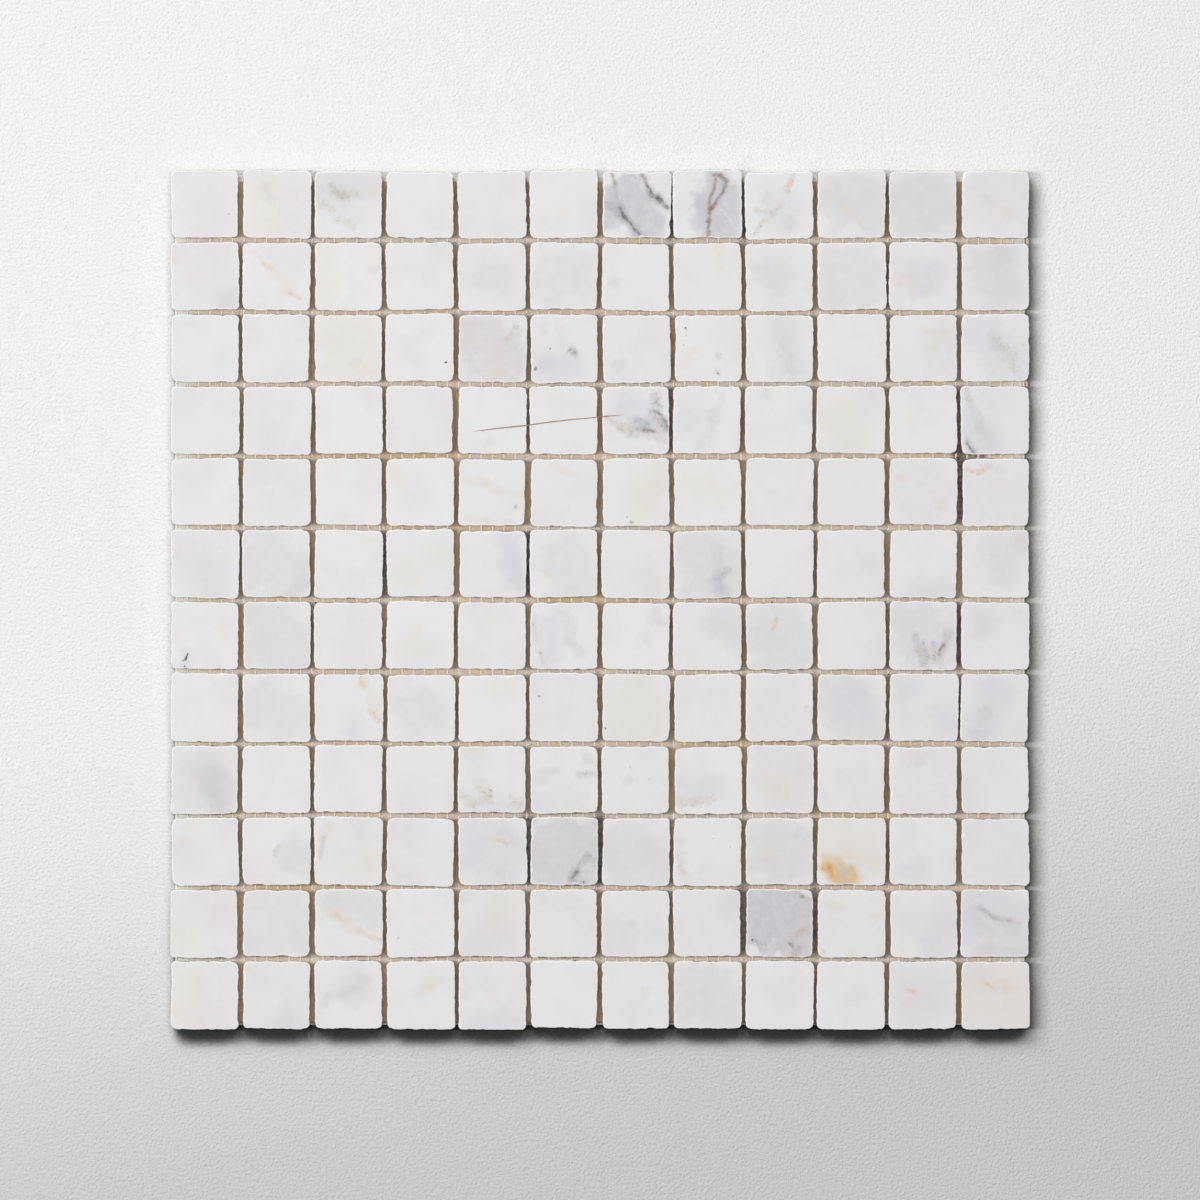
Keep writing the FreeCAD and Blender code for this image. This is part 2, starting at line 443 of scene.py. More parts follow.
    # knocks leave the sides scalloped: hollows that meet in cusps, other ones lower down than round the face
    offSide = addNode(tree, "ShaderNodeMath", along, operation="ABSOLUTE")
    atCorner = addNode(tree, "ShaderNodeMapRange", offSide, *wearSpans["corner"], 0.0, given["Corner Fill"],
                       interpolation_type="SMOOTHSTEP")
    wornIn = addNode(tree, "ShaderNodeMath", given["Outwards"], atCorner, operation="ADD")
    wornIn = addNode(tree, "ShaderNodeMath", inset, wornIn, operation="SUBTRACT")
    for knock, depth in ((noises["scallop"], given["Scallop"]), (noises["nibble"], given["Nibble"])):
        hollow = addNode(tree, "ShaderNodeMath", knock, 0.5, operation="SUBTRACT")
        hollow = addNode(tree, "ShaderNodeMath", hollow, operation="ABSOLUTE")
        hollow = addNode(tree, "ShaderNodeMapRange", hollow, *wearSpans["hollow"])
        wornIn = addNode(tree, "ShaderNodeMath", hollow, depth, wornIn, operation="MULTIPLY_ADD")
    wornIn = addNode(tree, "ShaderNodeMath", lowerShare, given["Foot Back"], wornIn, operation="MULTIPLY_ADD")

    # rough broken surface on the chips, and a little on the walls
    rough = addNode(tree, "ShaderNodeMapRange", noises["rough"], *wearSpans["rough"], 0.0, given["Rough"])
    inset = addNode(tree, "ShaderNodeMath", wornIn, rough, operation="ADD")
    insetMove = addNode(tree, "ShaderNodeVectorMath", sideInwards, named={"Scale": inset}, operation="SCALE")
    edge = addNode(tree, "ShaderNodeVectorMath", sidePoint, insetMove, operation="ADD")

    # the two rings inside the face and the back: a little in from the edge, and the middle
    flatShape = addNode(tree, "ShaderNodeVectorMath", shape, (1, 1, 0), operation="MULTIPLY")
    radius = addNode(tree, "ShaderNodeVectorMath", flatShape, operation="LENGTH").outputs["Value"]
    reach = addNode(tree, "ShaderNodeFloatCurve", named={"Value": radius})
    curve = reach.mapping.curves[0]
    curve.points[0].location = (0.0, 0.0)
    curve.points[1].location = (1.0, 1.0)
    curve.points.new(0.5, innerRing)
    for point in curve.points:
        point.handle_type = "VECTOR"
    reach.mapping.update()
    flatEdge = addNode(tree, "ShaderNodeVectorMath", edge, (1, 1, 0), operation="MULTIPLY")
    flatMiddle = addNode(tree, "ShaderNodeVectorMath", middle, (1, 1, 0), operation="MULTIPLY")
    spot = addNode(tree, "ShaderNodeMix", named={"Factor": reach, 4: flatMiddle, 5: flatEdge},
                   data_type="VECTOR", clamp_factor=False)
    up = addNode(tree, "ShaderNodeCombineXYZ", 0.0, 0.0, height)
    finalPlace = addNode(tree, "ShaderNodeVectorMath", spot.outputs[1], up, operation="ADD")
    finalPlace = addNode(tree, "ShaderNodeVectorMath", finalPlace, given["Low Corner"], operation="MAXIMUM")
    finalPlace = addNode(tree, "ShaderNodeVectorMath", finalPlace, given["High Corner"], operation="MINIMUM")
    # for the material: 1 on the worn edge, 0 on the open face and low on the wall
    wornUp = addNode(tree, "ShaderNodeMapRange", rise, *wearSpans["wornUp"])
    wornAcross = addNode(tree, "ShaderNodeMapRange", radius, *wearSpans["wornAcross"])
    worn = addNode(tree, "ShaderNodeMath", wornUp, wornAcross, operation="MULTIPLY")
    for name, value in (("chipped", chipped), ("worn", worn)):
        bodies = addNode(tree, "GeometryNodeStoreNamedAttribute", bodies, named={"Name": name, "Value": value},
                         data_type="FLOAT", domain="POINT")
    bodies = addNode(tree, "GeometryNodeSetPosition", bodies, named={"Position": finalPlace})
    bodies = addNode(tree, "GeometryNodeSetShadeSmooth", bodies, named={"Shade Smooth": True})
    bodies = addNode(tree, "GeometryNodeRealizeInstances", bodies)
    share = addNode(tree, "ShaderNodeMath", tileIndex, given["Tiles Each"], operation="DIVIDE")
    for start, name in enumerate(("Left Material", "Middle Material", "Right Material")):
        fromHere = addNode(tree, "FunctionNodeCompare", share, start - 0.001, operation="GREATER_THAN")
        bodies = addNode(tree, "GeometryNodeSetMaterial", bodies, fromHere, given[name])
    addNode(tree, "NodeGroupOutput", bodies)
    return tree


# Marble: white crystalline limestone, sawn, then tumbled with grit. The eye gets a chalky, slightly uneven white with
# soft grey and rose clouds, a few gold or dark veins, and edges bruised to a brighter white, with a painted highlight
# along them as well.
marbleLook = {
    "white": "#EAEAEA",
    "cloud": "#DDDCDC",
    "warm": "#E7E2DA",
    # painted highlight on top of bruised stone: the near-white that the worn edges turn to
    "bruiseHighlight": "#FDFDFC",
    "dust": "#B7A28A",  # adhesive and dust at the foot of the sides
    "dustPaintedLight": "#E6D8C6",  # the same, in the joints across the sheet, paler there as painted light
    "dustHeight": 2.2,  # mm above the film
    "flushBend": 7.0,  # mm that a soft flush strays from its line
    "veinBend": 3.0,
    "veinRagged": 1.1,  # mm
    "block": 400.0,  # mm of the block that the tiles are cut from
    "palest": 1.008,
    "darkest": 0.972,
    "bruiseHighlightPower": 2.6,  # the higher, the closer to the edge it keeps
    "bruiseHighlightStrength": 0.95,
    "dustStrength": 0.9,
    "gritDepth": 0.02 * mm,
    "scatter": 0.12,  # share of the light that spreads under the surface; more takes long to render
    "scatterReach": 2.0 * mm,
    "scatterColours": (1.0, 0.9, 0.8),
}
# Noises in the stone. "Scale" is features a millimetre. Real crystals are about half as large as these and
# wouldn't show.
stoneNoise = {
    "cloud": {"Scale": 1 / 15.0, "Detail": 4.0, "Roughness": 0.55},
    "warm": {"W": 5.0, "Scale": 1 / 9.0, "Detail": 2.0},
    "bend": {"Scale": 0.16, "Detail": 2.0},
    "ragged": {"Scale": 0.8, "Detail": 4.0, "Roughness": 0.7},
    "mottle": {"W": 9.0, "Scale": 0.34, "Detail": 6.0, "Roughness": 0.66},
    "grainy": {"W": 2.0, "Scale": 0.9, "Detail": 4.0, "Roughness": 0.75},
    "crystal": {"Scale": 1 / 0.7, "Detail": 2.0},
}
# What the noises are used for: which one, the span of it that counts, and what that span comes to
stoneSpans = {
    "cloudy": ("cloud", 0.48, 0.8, 0.0, 0.6),
    "warmth": ("warm", 0.56, 0.85, 0.0, 0.5),
    "flushSwelling": ("bend", 0.3, 0.7, 0.4, 1.2),
    "veinSwelling": ("mottle", 0.36, 0.66, 0.1, 1.8),
    "flushDensity": ("mottle", 0.22, 0.76, 0.5, 1.1),
    "veinDensity": ("grainy", 0.32, 0.6, 0.35, 1.05),
    "clusterDensity": ("grainy", 0.44, 0.64, 0.0, 1.0),
    "shine": ("crystal", 0.3, 0.7, 0.99, 1.01),
    "roughness": ("crystal", 0.3, 0.7, 0.58 - 0.08, 0.58 + 0.08),
}

# What a mark in the stone looks like: its colour, how softly it ends in mm, how strongly it covers, how far a
# fainter halo of it reaches in mm, and whether it is a soft flush, a vein, or a cluster of grains
markKinds = {
    "pink": ("#E4DEE0", 9.0, 0.6, 0.0, "flush"),
    "mauve": ("#D9D4D6", 7.0, 0.85, 0.0, "flush"),
    "cream": ("#E7E3D9", 8.0, 0.65, 0.0, "flush"),
    "stain": ("#DFC08E", 4.5, 0.85, 0.0, "flush"),
    "haze": ("#B4B2B8", 3.5, 0.42, 0.0, "flush"),
    "peach": ("#E3D7C6", 2.6, 0.38, 0.0, "flush"),
    "lavender": ("#DAD9E0", 7.0, 0.6, 0.0, "flush"),
    "slate": ("#C8C7CC", 4.5, 0.95, 0.0, "flush"),
    "grey": ("#D6D6D7", 8.0, 0.52, 0.0, "flush"),
    "ash": ("#D3D3D5", 6.0, 0.9, 0.0, "flush"),
    "blush": ("#E9E0D9", 8.0, 0.5, 0.0, "flush"),
    "faint": ("#D0D0D2", 2.8, 0.42, 0.0, "flush"),
    "smoke": ("#A09EA1", 1.3, 0.7, 1.8, "cluster"),
    "gold": ("#BCA57C", 0.9, 0.55, 1.3, "cluster"),
    "olive": ("#C4B99C", 2.2, 0.65, 1.5, "cluster"),
    "fawn": ("#C0AC9B", 1.8, 0.62, 1.4, "cluster"),
    "orange": ("#DBAA62", 0.9, 0.6, 1.4, "cluster"),
    "rust": ("#DA9632", 1.4, 1.0, 2.4, "cluster"),
    "brown": ("#846A54", 0.8, 0.72, 1.3, "vein"),
    "dark": ("#504D4F", 0.9, 0.76, 2.4, "vein"),
    "white": ("#EEEEEE", 0.35, 0.3, 0.0, "vein"),
    "speck": ("#2B2927", 0.12, 1.0, 0.3, "vein"),
    "greySpeck": ("#8E8C8E", 0.25, 0.75, 0.5, "vein"),
    "redSpeck": ("#7C4736", 0.2, 0.9, 0.5, "vein"),
}

# The marks of each row of tiles, from the top of the sheet: tile in the row, kind, half width in mm, and the
# places that its line passes, in hundredths of the tile from its left and from its top
marks = {
    1: [
        (0, "pink", 5, (55, 30), (60, 75)), (0, "speck", 0.15, (85, 65)), (1, "cream", 3.5, (30, 30), (30, 80)),
        (1, "pink", 3, (85, 30), (80, 80)), (1, "faint", 0.5, (36, 25), (40, 48)), (2, "grey", 3, (10, 25), (85, 20)),
        (2, "smoke", 0.2, (22, 22), (36, 34)), (2, "faint", 0.8, (24, 24), (40, 36)),
        (2, "olive", 0.5, (30, 34), (44, 38), (62, 37)), (2, "olive", 0.5, (10, 50), (20, 58)),
        (2, "olive", 0.6, (36, 70), (54, 84)), (2, "peach", 0.8, (85, 30)), (6, "slate", 5, (35, 35), (68, 80)),
        (6, "slate", 1.6, (4, 45), (12, 75)), (6, "smoke", 0.9, (42, 6), (64, 12)),
        (6, "smoke", 1.0, (8, 50), (25, 65)), (6, "brown", 0.1, (12, 3), (18, 20)),
        (6, "smoke", 0.15, (18, 22), (28, 52)), (6, "dark", 0.3, (27, 55), (40, 78), (57, 96)),
        (6, "brown", 0.12, (60, 6), (68, 22)), (6, "dark", 0.12, (69, 24), (72, 34)),
        (6, "dark", 0.38, (71, 36), (84, 42), (97, 54)), (6, "white", 0.25, (50, 87)),
        (6, "white", 0.3, (24, 28), (27, 42)), (7, "slate", 2.6, (62, 10), (46, 50), (50, 90)),
        (7, "slate", 3.0, (80, 35), (78, 85)),
        (7, "brown", 0.18, (60, 3), (70, 5), (78, 14), (75, 30), (62, 50), (54, 60)),
        (7, "brown", 0.15, (64, 10), (55, 34), (53, 56)), (7, "brown", 0.45, (53, 58), (50, 74)),
        (7, "brown", 0.18, (50, 76), (49, 97)), (7, "white", 0.2, (32, 50), (10, 76)),
        (7, "white", 0.2, (68, 58), (95, 85)), (8, "gold", 0.5, (69, 3), (62, 30)),
        (8, "orange", 0.4, (65, 12), (63, 30)), (8, "gold", 0.4, (53, 48), (38, 60), (14, 60)),
        (8, "gold", 0.35, (42, 65), (22, 80), (10, 93)), (8, "faint", 1.2, (30, 40)), (8, "faint", 0.9, (66, 78)),
        (8, "grey", 3, (60, 60)), (9, "pink", 4, (30, 30), (80, 50)),
        (9, "peach", 0.4, (10, 35), (35, 52), (60, 75), (80, 90)), (9, "grey", 9, (40, 50), (60, 50)),
        (10, "pink", 5, (40, 30), (70, 60)), (10, "grey", 9, (40, 50), (60, 50)), (11, "pink", 5, (40, 50), (70, 30)),
        (11, "peach", 0.5, (65, 65)), (11, "faint", 0.8, (40, 45)),
    ],
    2: [
        (0, "pink", 5, (45, 30), (50, 50)), (0, "mauve", 1, (85, 88)), (0, "peach", 0.6, (4, 25)),
        (1, "pink", 2, (55, 10), (80, 30)), (1, "peach", 0.3, (8, 8), (28, 30)),
        (1, "orange", 0.12, (28, 31), (43, 40)), (1, "peach", 0.3, (43, 42), (70, 72)),
        (1, "orange", 0.16, (71, 73), (85, 80)), (2, "cream", 1, (6, 10), (10, 80)), (2, "faint", 0.6, (87, 40)),
        (4, "grey", 3, (40, 50), (60, 50)), (5, "grey", 9, (40, 50), (60, 50)), (8, "grey", 4, (40, 50)),
        (9, "grey", 9, (40, 50), (60, 50)), (6, "faint", 0.6, (15, 55)), (7, "peach", 0.5, (65, 5), (68, 30)),
        (8, "peach", 0.9, (93, 68)), (8, "white", 0.6, (22, 20)), (8, "white", 0.6, (66, 14)),
        (10, "peach", 0.8, (12, 60), (28, 58)), (10, "peach", 0.5, (30, 66), (35, 80)), (10, "lavender", 3, (60, 50)),
        (11, "grey", 5, (40, 30), (55, 70)), (11, "mauve", 0.8, (65, 20)),
    ],
    3: [
        (2, "cream", 9, (40, 30), (50, 70)), (2, "faint", 0.4, (62, 68)), (2, "peach", 0.6, (75, 80)),
        (3, "speck", 0.42, (89, 72)), (4, "mauve", 9, (40, 40), (60, 70)), (4, "gold", 0.6, (86, 17), (73, 36)),
        (4, "peach", 0.7, (12, 12), (15, 40)), (4, "peach", 0.7, (62, 50), (55, 90)), (4, "white", 0.35, (30, 72)),
        (4, "white", 0.35, (80, 88)), (5, "redSpeck", 0.25, (28, 49)), (5, "smoke", 0.7, (60, 50), (68, 58)),
        (5, "brown", 0.3, (59, 51)), (5, "dark", 0.3, (68, 55)), (5, "speck", 0.6, (7, 82)),
        (5, "faint", 0.6, (18, 20)), (5, "faint", 0.6, (22, 77), (30, 70)), (5, "faint", 0.5, (47, 38)),
        (5, "lavender", 1.5, (25, 80), (60, 76)), (6, "faint", 0.6, (20, 72), (30, 76)), (7, "speck", 0.45, (16, 20)),
        (7, "redSpeck", 0.12, (15, 30)), (7, "redSpeck", 0.1, (13, 45)), (7, "peach", 0.5, (31, 55)),
        (7, "peach", 0.8, (18, 70)), (7, "smoke", 0.4, (64, 62)), (7, "smoke", 0.4, (64, 86)),
        (7, "speck", 0.18, (64, 87)), (8, "grey", 2.5, (50, 15), (70, 85)), (8, "faint", 0.9, (55, 40), (70, 85)),
        (8, "white", 0.5, (52, 55)), (10, "peach", 0.4, (55, 22), (85, 30)), (10, "peach", 0.5, (66, 45)),
        (11, "lavender", 5, (30, 30), (70, 80)), (11, "faint", 1.8, (50, 35), (62, 60)),
        (11, "olive", 0.8, (50, 40), (62, 50)), (11, "olive", 0.5, (76, 60), (80, 80)), (11, "gold", 0.5, (94, 42)),
        (11, "gold", 0.4, (90, 96)),
    ],
    4: [
        (4, "faint", 0.5, (45, 82)), (6, "lavender", 1.5, (30, 30), (55, 40)), (6, "haze", 1.2, (45, 52), (90, 60)),
        (6, "smoke", 0.9, (76, 16), (86, 32)), (6, "smoke", 1.0, (72, 38), (95, 56)),
        (6, "fawn", 0.5, (8, 48), (28, 60), (50, 74)), (6, "smoke", 0.4, (45, 66), (60, 62), (80, 66)),
        (6, "brown", 0.1, (62, 64), (78, 65)), (6, "smoke", 0.5, (50, 50), (68, 55)),
        (6, "fawn", 0.3, (60, 72), (95, 80)), (6, "fawn", 0.6, (80, 12), (86, 26)),
        (6, "brown", 0.1, (76, 37), (90, 43)), (6, "dark", 0.12, (93, 50), (98, 58)),
        (7, "faint", 0.6, (70, 15), (60, 45), (40, 90)), (7, "lavender", 3, (20, 50)), (8, "faint", 0.8, (30, 10)),
        (9, "cream", 4, (30, 50), (50, 70)), (9, "pink", 2, (75, 20)), (11, "lavender", 3.5, (15, 60), (35, 80)),
        (11, "gold", 0.5, (5, 5), (12, 20)), (11, "faint", 0.4, (12, 20), (30, 60), (45, 90)),
        (11, "dark", 0.3, (10, 85), (17, 98)),
    ],
    5: [
        (0, "pink", 2.5, (30, 35)), (3, "peach", 1.2, (12, 15), (20, 30)), (3, "pink", 2, (40, 50)),
        (4, "peach", 0.25, (10, 30), (40, 38), (60, 50), (90, 55)), (4, "brown", 0.2, (85, 74)),
        (4, "peach", 0.4, (10, 93), (30, 90)), (4, "faint", 0.4, (40, 90)), (4, "faint", 0.4, (76, 92)),
        (5, "peach", 0.3, (40, 10), (60, 22)), (6, "cream", 0.5, (88, 20), (66, 50), (55, 80)),
        (6, "greySpeck", 0.12, (37, 87)), (6, "brown", 0.12, (43, 95)), (7, "cream", 1.0, (20, 40), (60, 50)),
        (7, "peach", 0.4, (68, 75)), (10, "pink", 8, (40, 40), (60, 60)), (10, "peach", 1, (20, 30)),
        (10, "peach", 1, (80, 70)), (11, "pink", 6, (30, 60), (80, 60)),
        (11, "orange", 0.5, (8, 16), (25, 20), (40, 12)), (11, "faint", 0.5, (40, 10), (56, 12)),
    ],
    6: [
        (0, "grey", 4, (60, 70), (50, 90)), (0, "pink", 2.5, (25, 35), (30, 40)), (0, "pink", 1.5, (75, 20)),
        (0, "peach", 0.6, (85, 42)), (1, "grey", 9, (30, 40), (60, 70)), (1, "faint", 1.2, (75, 92), (95, 80)),
        (3, "cream", 0.8, (76, 45)), (3, "cream", 1, (35, 65)), (4, "lavender", 1.3, (75, 10), (78, 40), (88, 75)),
        (4, "faint", 0.3, (85, 45), (90, 60)), (4, "faint", 0.3, (86, 72), (90, 85)),
        (5, "grey", 6, (50, 40), (60, 70)), (5, "peach", 0.8, (20, 68)), (7, "grey", 9, (40, 40), (60, 70)),
        (7, "faint", 1.6, (62, 30), (66, 60)), (7, "smoke", 0.5, (62, 72), (80, 60)),
        (7, "slate", 0.5, (64, 74), (70, 94)), (10, "lavender", 1, (40, 97), (90, 95)),
        (11, "grey", 3, (50, 30), (60, 60)), (11, "mauve", 0.6, (90, 15)),
    ],
    7: [
        (0, "faint", 0.9, (22, 78), (20, 95)), (0, "speck", 0.42, (24, 77), (20, 84)), (0, "speck", 0.3, (20, 95)),
        (0, "speck", 0.15, (16, 86)), (1, "grey", 9, (40, 40), (60, 70)), (1, "speck", 0.12, (53, 8)),
        (1, "peach", 0.5, (5, 88)), (2, "pink", 2.5, (58, 20), (60, 80)), (3, "cream", 0.8, (40, 60)),
        (5, "gold", 0.2, (6, 20), (8, 60)), (5, "brown", 0.18, (13, 74)), (5, "gold", 0.3, (14, 78), (20, 92)),
        (5, "faint", 0.5, (55, 20), (65, 60), (75, 80)), (5, "lavender", 1.5, (25, 40), (27, 70)),
        (6, "faint", 0.4, (65, 42), (64, 55)), (6, "faint", 0.7, (75, 15), (92, 30)),
        (7, "lavender", 3, (70, 30), (85, 40)), (8, "grey", 9, (40, 40), (60, 70)),
        (8, "orange", 0.5, (43, 24), (40, 36)), (10, "lavender", 9, (40, 40), (60, 60)),
        (10, "smoke", 0.2, (36, 48), (50, 94)), (10, "olive", 0.8, (42, 72), (74, 90)),
        (10, "smoke", 0.15, (50, 58), (57, 96)), (10, "smoke", 0.25, (66, 62), (68, 84)),
        (10, "smoke", 0.25, (93, 42), (78, 78)), (10, "gold", 0.3, (86, 40), (80, 66)),
        (10, "brown", 0.1, (79, 62), (74, 78)), (10, "white", 0.2, (70, 27), (85, 22)), (11, "grey", 1.2, (30, 30)),
    ],
    8: [
        (1, "grey", 9, (40, 50), (60, 60)), (2, "peach", 0.6, (72, 10), (90, 50)),
        (2, "orange", 0.5, (67, 7), (74, 18)), (2, "orange", 0.5, (84, 55), (95, 68)), (2, "lavender", 1, (55, 80)),
        (3, "grey", 5, (40, 50), (60, 60)), (4, "cream", 1, (70, 20)), (5, "redSpeck", 0.22, (13, 31)),
        (6, "cream", 7, (45, 40), (45, 80)), (6, "redSpeck", 0.25, (4, 80)), (7, "speck", 0.1, (13, 70)),
        (8, "pink", 9, (40, 50), (60, 80)), (8, "gold", 0.15, (90, 50)), (9, "grey", 9, (40, 40), (60, 70)),
        (9, "lavender", 3, (50, 35), (60, 50)), (10, "lavender", 2, (25, 20)), (10, "lavender", 2, (85, 70)),
        (11, "lavender", 3, (30, 75), (55, 30)), (11, "faint", 0.9, (24, 92), (38, 60)),
        (11, "faint", 0.5, (34, 62), (38, 52)),
    ],
    9: [
        (0, "grey", 2.5, (50, 30), (65, 60), (70, 90)), (0, "faint", 1.2, (50, 35), (60, 65)),
        (0, "ash", 0.4, (60, 45), (70, 85)), (0, "pink", 1.5, (30, 25)), (0, "pink", 1.5, (20, 75)),
        (0, "lavender", 1.2, (80, 60)), (3, "pink", 2, (35, 80)), (4, "lavender", 2, (30, 95), (70, 95)),
        (4, "olive", 1.0, (5, 74), (15, 82)), (4, "olive", 0.5, (30, 64), (46, 69)),
        (4, "olive", 0.9, (26, 88), (42, 78)), (4, "olive", 0.9, (82, 80), (93, 86)),
        (4, "greySpeck", 0.15, (49, 67)), (4, "peach", 0.4, (15, 4), (30, 6)), (4, "faint", 0.6, (30, 52)),
        (5, "smoke", 0.45, (72, 43), (97, 42)), (5, "faint", 1.0, (10, 50), (35, 36)), (5, "faint", 1.0, (85, 20)),
        (5, "lavender", 1.5, (10, 92)), (5, "peach", 0.6, (78, 94)), (6, "greySpeck", 0.12, (42, 30)),
        (6, "faint", 0.6, (38, 50)), (6, "greySpeck", 0.08, (70, 48)), (7, "olive", 0.9, (4, 86), (30, 80)),
        (7, "olive", 0.9, (30, 84), (54, 82)), (7, "lavender", 1.2, (25, 66), (55, 60)),
        (8, "pink", 7, (50, 30), (70, 50)), (8, "cream", 1, (40, 60)), (9, "pink", 2, (80, 85)),
        (10, "pink", 9, (50, 40), (50, 70)), (10, "faint", 1.0, (45, 22)), (11, "pink", 1.5, (10, 85)),
    ],
    10: [
        (0, "pink", 2, (20, 55)), (0, "peach", 0.6, (15, 30)), (1, "grey", 4, (85, 60)),
        (1, "white", 0.2, (70, 5), (46, 40), (28, 96)), (1, "gold", 0.45, (53, 42), (49, 56)),
        (1, "pink", 1.5, (15, 80)), (2, "peach", 0.6, (22, 8), (14, 30)), (2, "gold", 0.4, (12, 30), (8, 60)),
        (2, "cream", 1.2, (75, 70)), (3, "pink", 0.7, (10, 20), (30, 20)), (3, "pink", 1, (20, 85)),
        (4, "lavender", 9, (40, 40), (60, 60)), (4, "peach", 0.45, (50, 28), (78, 40)),
        (4, "gold", 0.15, (58, 30), (72, 38)), (4, "faint", 0.6, (70, 18), (95, 42)), (4, "faint", 0.4, (60, 85)),
        (5, "ash", 13, (30, 40), (60, 60)), (5, "smoke", 0.5, (68, 78), (85, 56), (95, 62)),
        (5, "dark", 0.3, (62, 90), (67, 81)), (5, "speck", 0.25, (78, 95)), (5, "smoke", 0.5, (60, 95), (80, 97)),
        (5, "mauve", 0.8, (80, 15)), (5, "greySpeck", 0.1, (95, 72)), (6, "grey", 9, (40, 40), (60, 70)),
        (7, "faint", 0.3, (6, 35)), (7, "faint", 0.4, (8, 60)), (7, "peach", 0.6, (8, 72), (16, 90)),
        (7, "olive", 0.3, (8, 75), (10, 82)), (7, "greySpeck", 0.12, (61, 30)), (7, "greySpeck", 0.1, (85, 42)),
        (8, "peach", 1.1, (28, 58), (42, 72)), (8, "faint", 0.5, (80, 20)), (8, "grey", 9, (40, 50), (60, 50)),
        (9, "cream", 10, (30, 30), (70, 30)), (9, "grey", 1.5, (42, 80)), (9, "peach", 0.8, (35, 55), (90, 64)),
        (9, "stain", 1.2, (12, 70), (30, 84), (50, 88)), (9, "rust", 0.5, (6, 72), (17, 74), (20, 84)),
        (9, "orange", 0.6, (30, 62), (36, 68)), (9, "haze", 0.6, (40, 82)),
        (9, "orange", 0.5, (52, 74), (56, 88), (46, 96)), (9, "peach", 0.6, (86, 80)), (10, "peach", 0.5, (95, 60)),
        (10, "lavender", 2, (40, 80)), (11, "pink", 10, (40, 40), (60, 60)),
    ],
    11: [
        (0, "pink", 3, (50, 10), (70, 20)), (0, "cream", 2, (12, 70)), (0, "pink", 1.5, (75, 45)),
        (1, "grey", 10, (30, 50), (70, 50)), (2, "grey", 2.5, (30, 15), (90, 30)),
        (2, "peach", 0.6, (12, 30), (30, 38)), (2, "orange", 0.4, (30, 37), (43, 45)),
        (2, "peach", 0.4, (43, 47), (65, 60)), (2, "orange", 0.45, (64, 60), (98, 78)), (3, "peach", 0.5, (5, 40)),
        (3, "gold", 0.15, (15, 72)), (4, "cream", 1.5, (60, 20), (55, 45)), (4, "pink", 3, (30, 75), (50, 70)),
        (6, "faint", 0.3, (40, 48)), (6, "pink", 2, (20, 70)), (7, "lavender", 1.5, (85, 20)),
        (8, "slate", 15, (30, 40), (70, 60)), (8, "gold", 0.6, (82, 6), (95, 14)), (8, "brown", 0.3, (84, 10)),
        (8, "speck", 0.3, (8, 73)), (8, "smoke", 0.5, (12, 80), (25, 88)), (8, "gold", 0.8, (70, 75), (85, 60)),
        (8, "brown", 0.45, (65, 83)), (8, "smoke", 1.2, (75, 90)), (8, "orange", 0.4, (86, 60)),
        (8, "gold", 0.6, (96, 65)), (9, "peach", 0.9, (10, 20), (35, 25)), (9, "peach", 0.8, (85, 40)),
        (9, "peach", 0.6, (50, 95)), (9, "gold", 0.3, (8, 92)), (10, "pink", 1.4, (30, 55), (90, 25)),
        (10, "lavender", 3, (70, 80), (90, 60)), (11, "lavender", 10, (30, 40), (70, 60)),
        (11, "faint", 0.8, (10, 24), (40, 36), (80, 58)), (11, "smoke", 0.12, (25, 28), (50, 40), (70, 45)),
        (11, "gold", 0.4, (70, 43), (86, 50)), (11, "faint", 0.4, (10, 42), (42, 60)),
        (11, "faint", 0.4, (30, 86), (90, 95)), (11, "peach", 0.5, (36, 72)),
    ],
    12: [
        (0, "cream", 2, (25, 30), (25, 80)), (0, "pink", 5, (75, 30), (60, 80)), (1, "peach", 0.5, (8, 8)),
        (1, "lavender", 2.5, (70, 95)), (2, "grey", 3, (60, 40)), (2, "faint", 0.1, (15, 60), (50, 44), (80, 26)),
        (3, "peach", 0.2, (45, 45), (66, 36), (76, 26)), (4, "lavender", 2, (40, 95), (80, 95)),
        (6, "peach", 0.6, (65, 46)), (7, "grey", 10, (40, 40), (60, 70)), (8, "pink", 1.5, (60, 45)),
        (10, "pink", 6, (50, 50)), (10, "peach", 0.4, (22, 41), (36, 44)), (10, "orange", 0.12, (26, 42), (34, 44)),
        (11, "blush", 10, (30, 40), (70, 60)), (11, "peach", 0.9, (25, 30), (80, 38)),
        (11, "orange", 0.1, (37, 32), (45, 35)), (11, "peach", 0.3, (66, 32), (69, 38)),
    ],
}
tileApart = 100.0  # keeps a mark's line away from every tile but its own


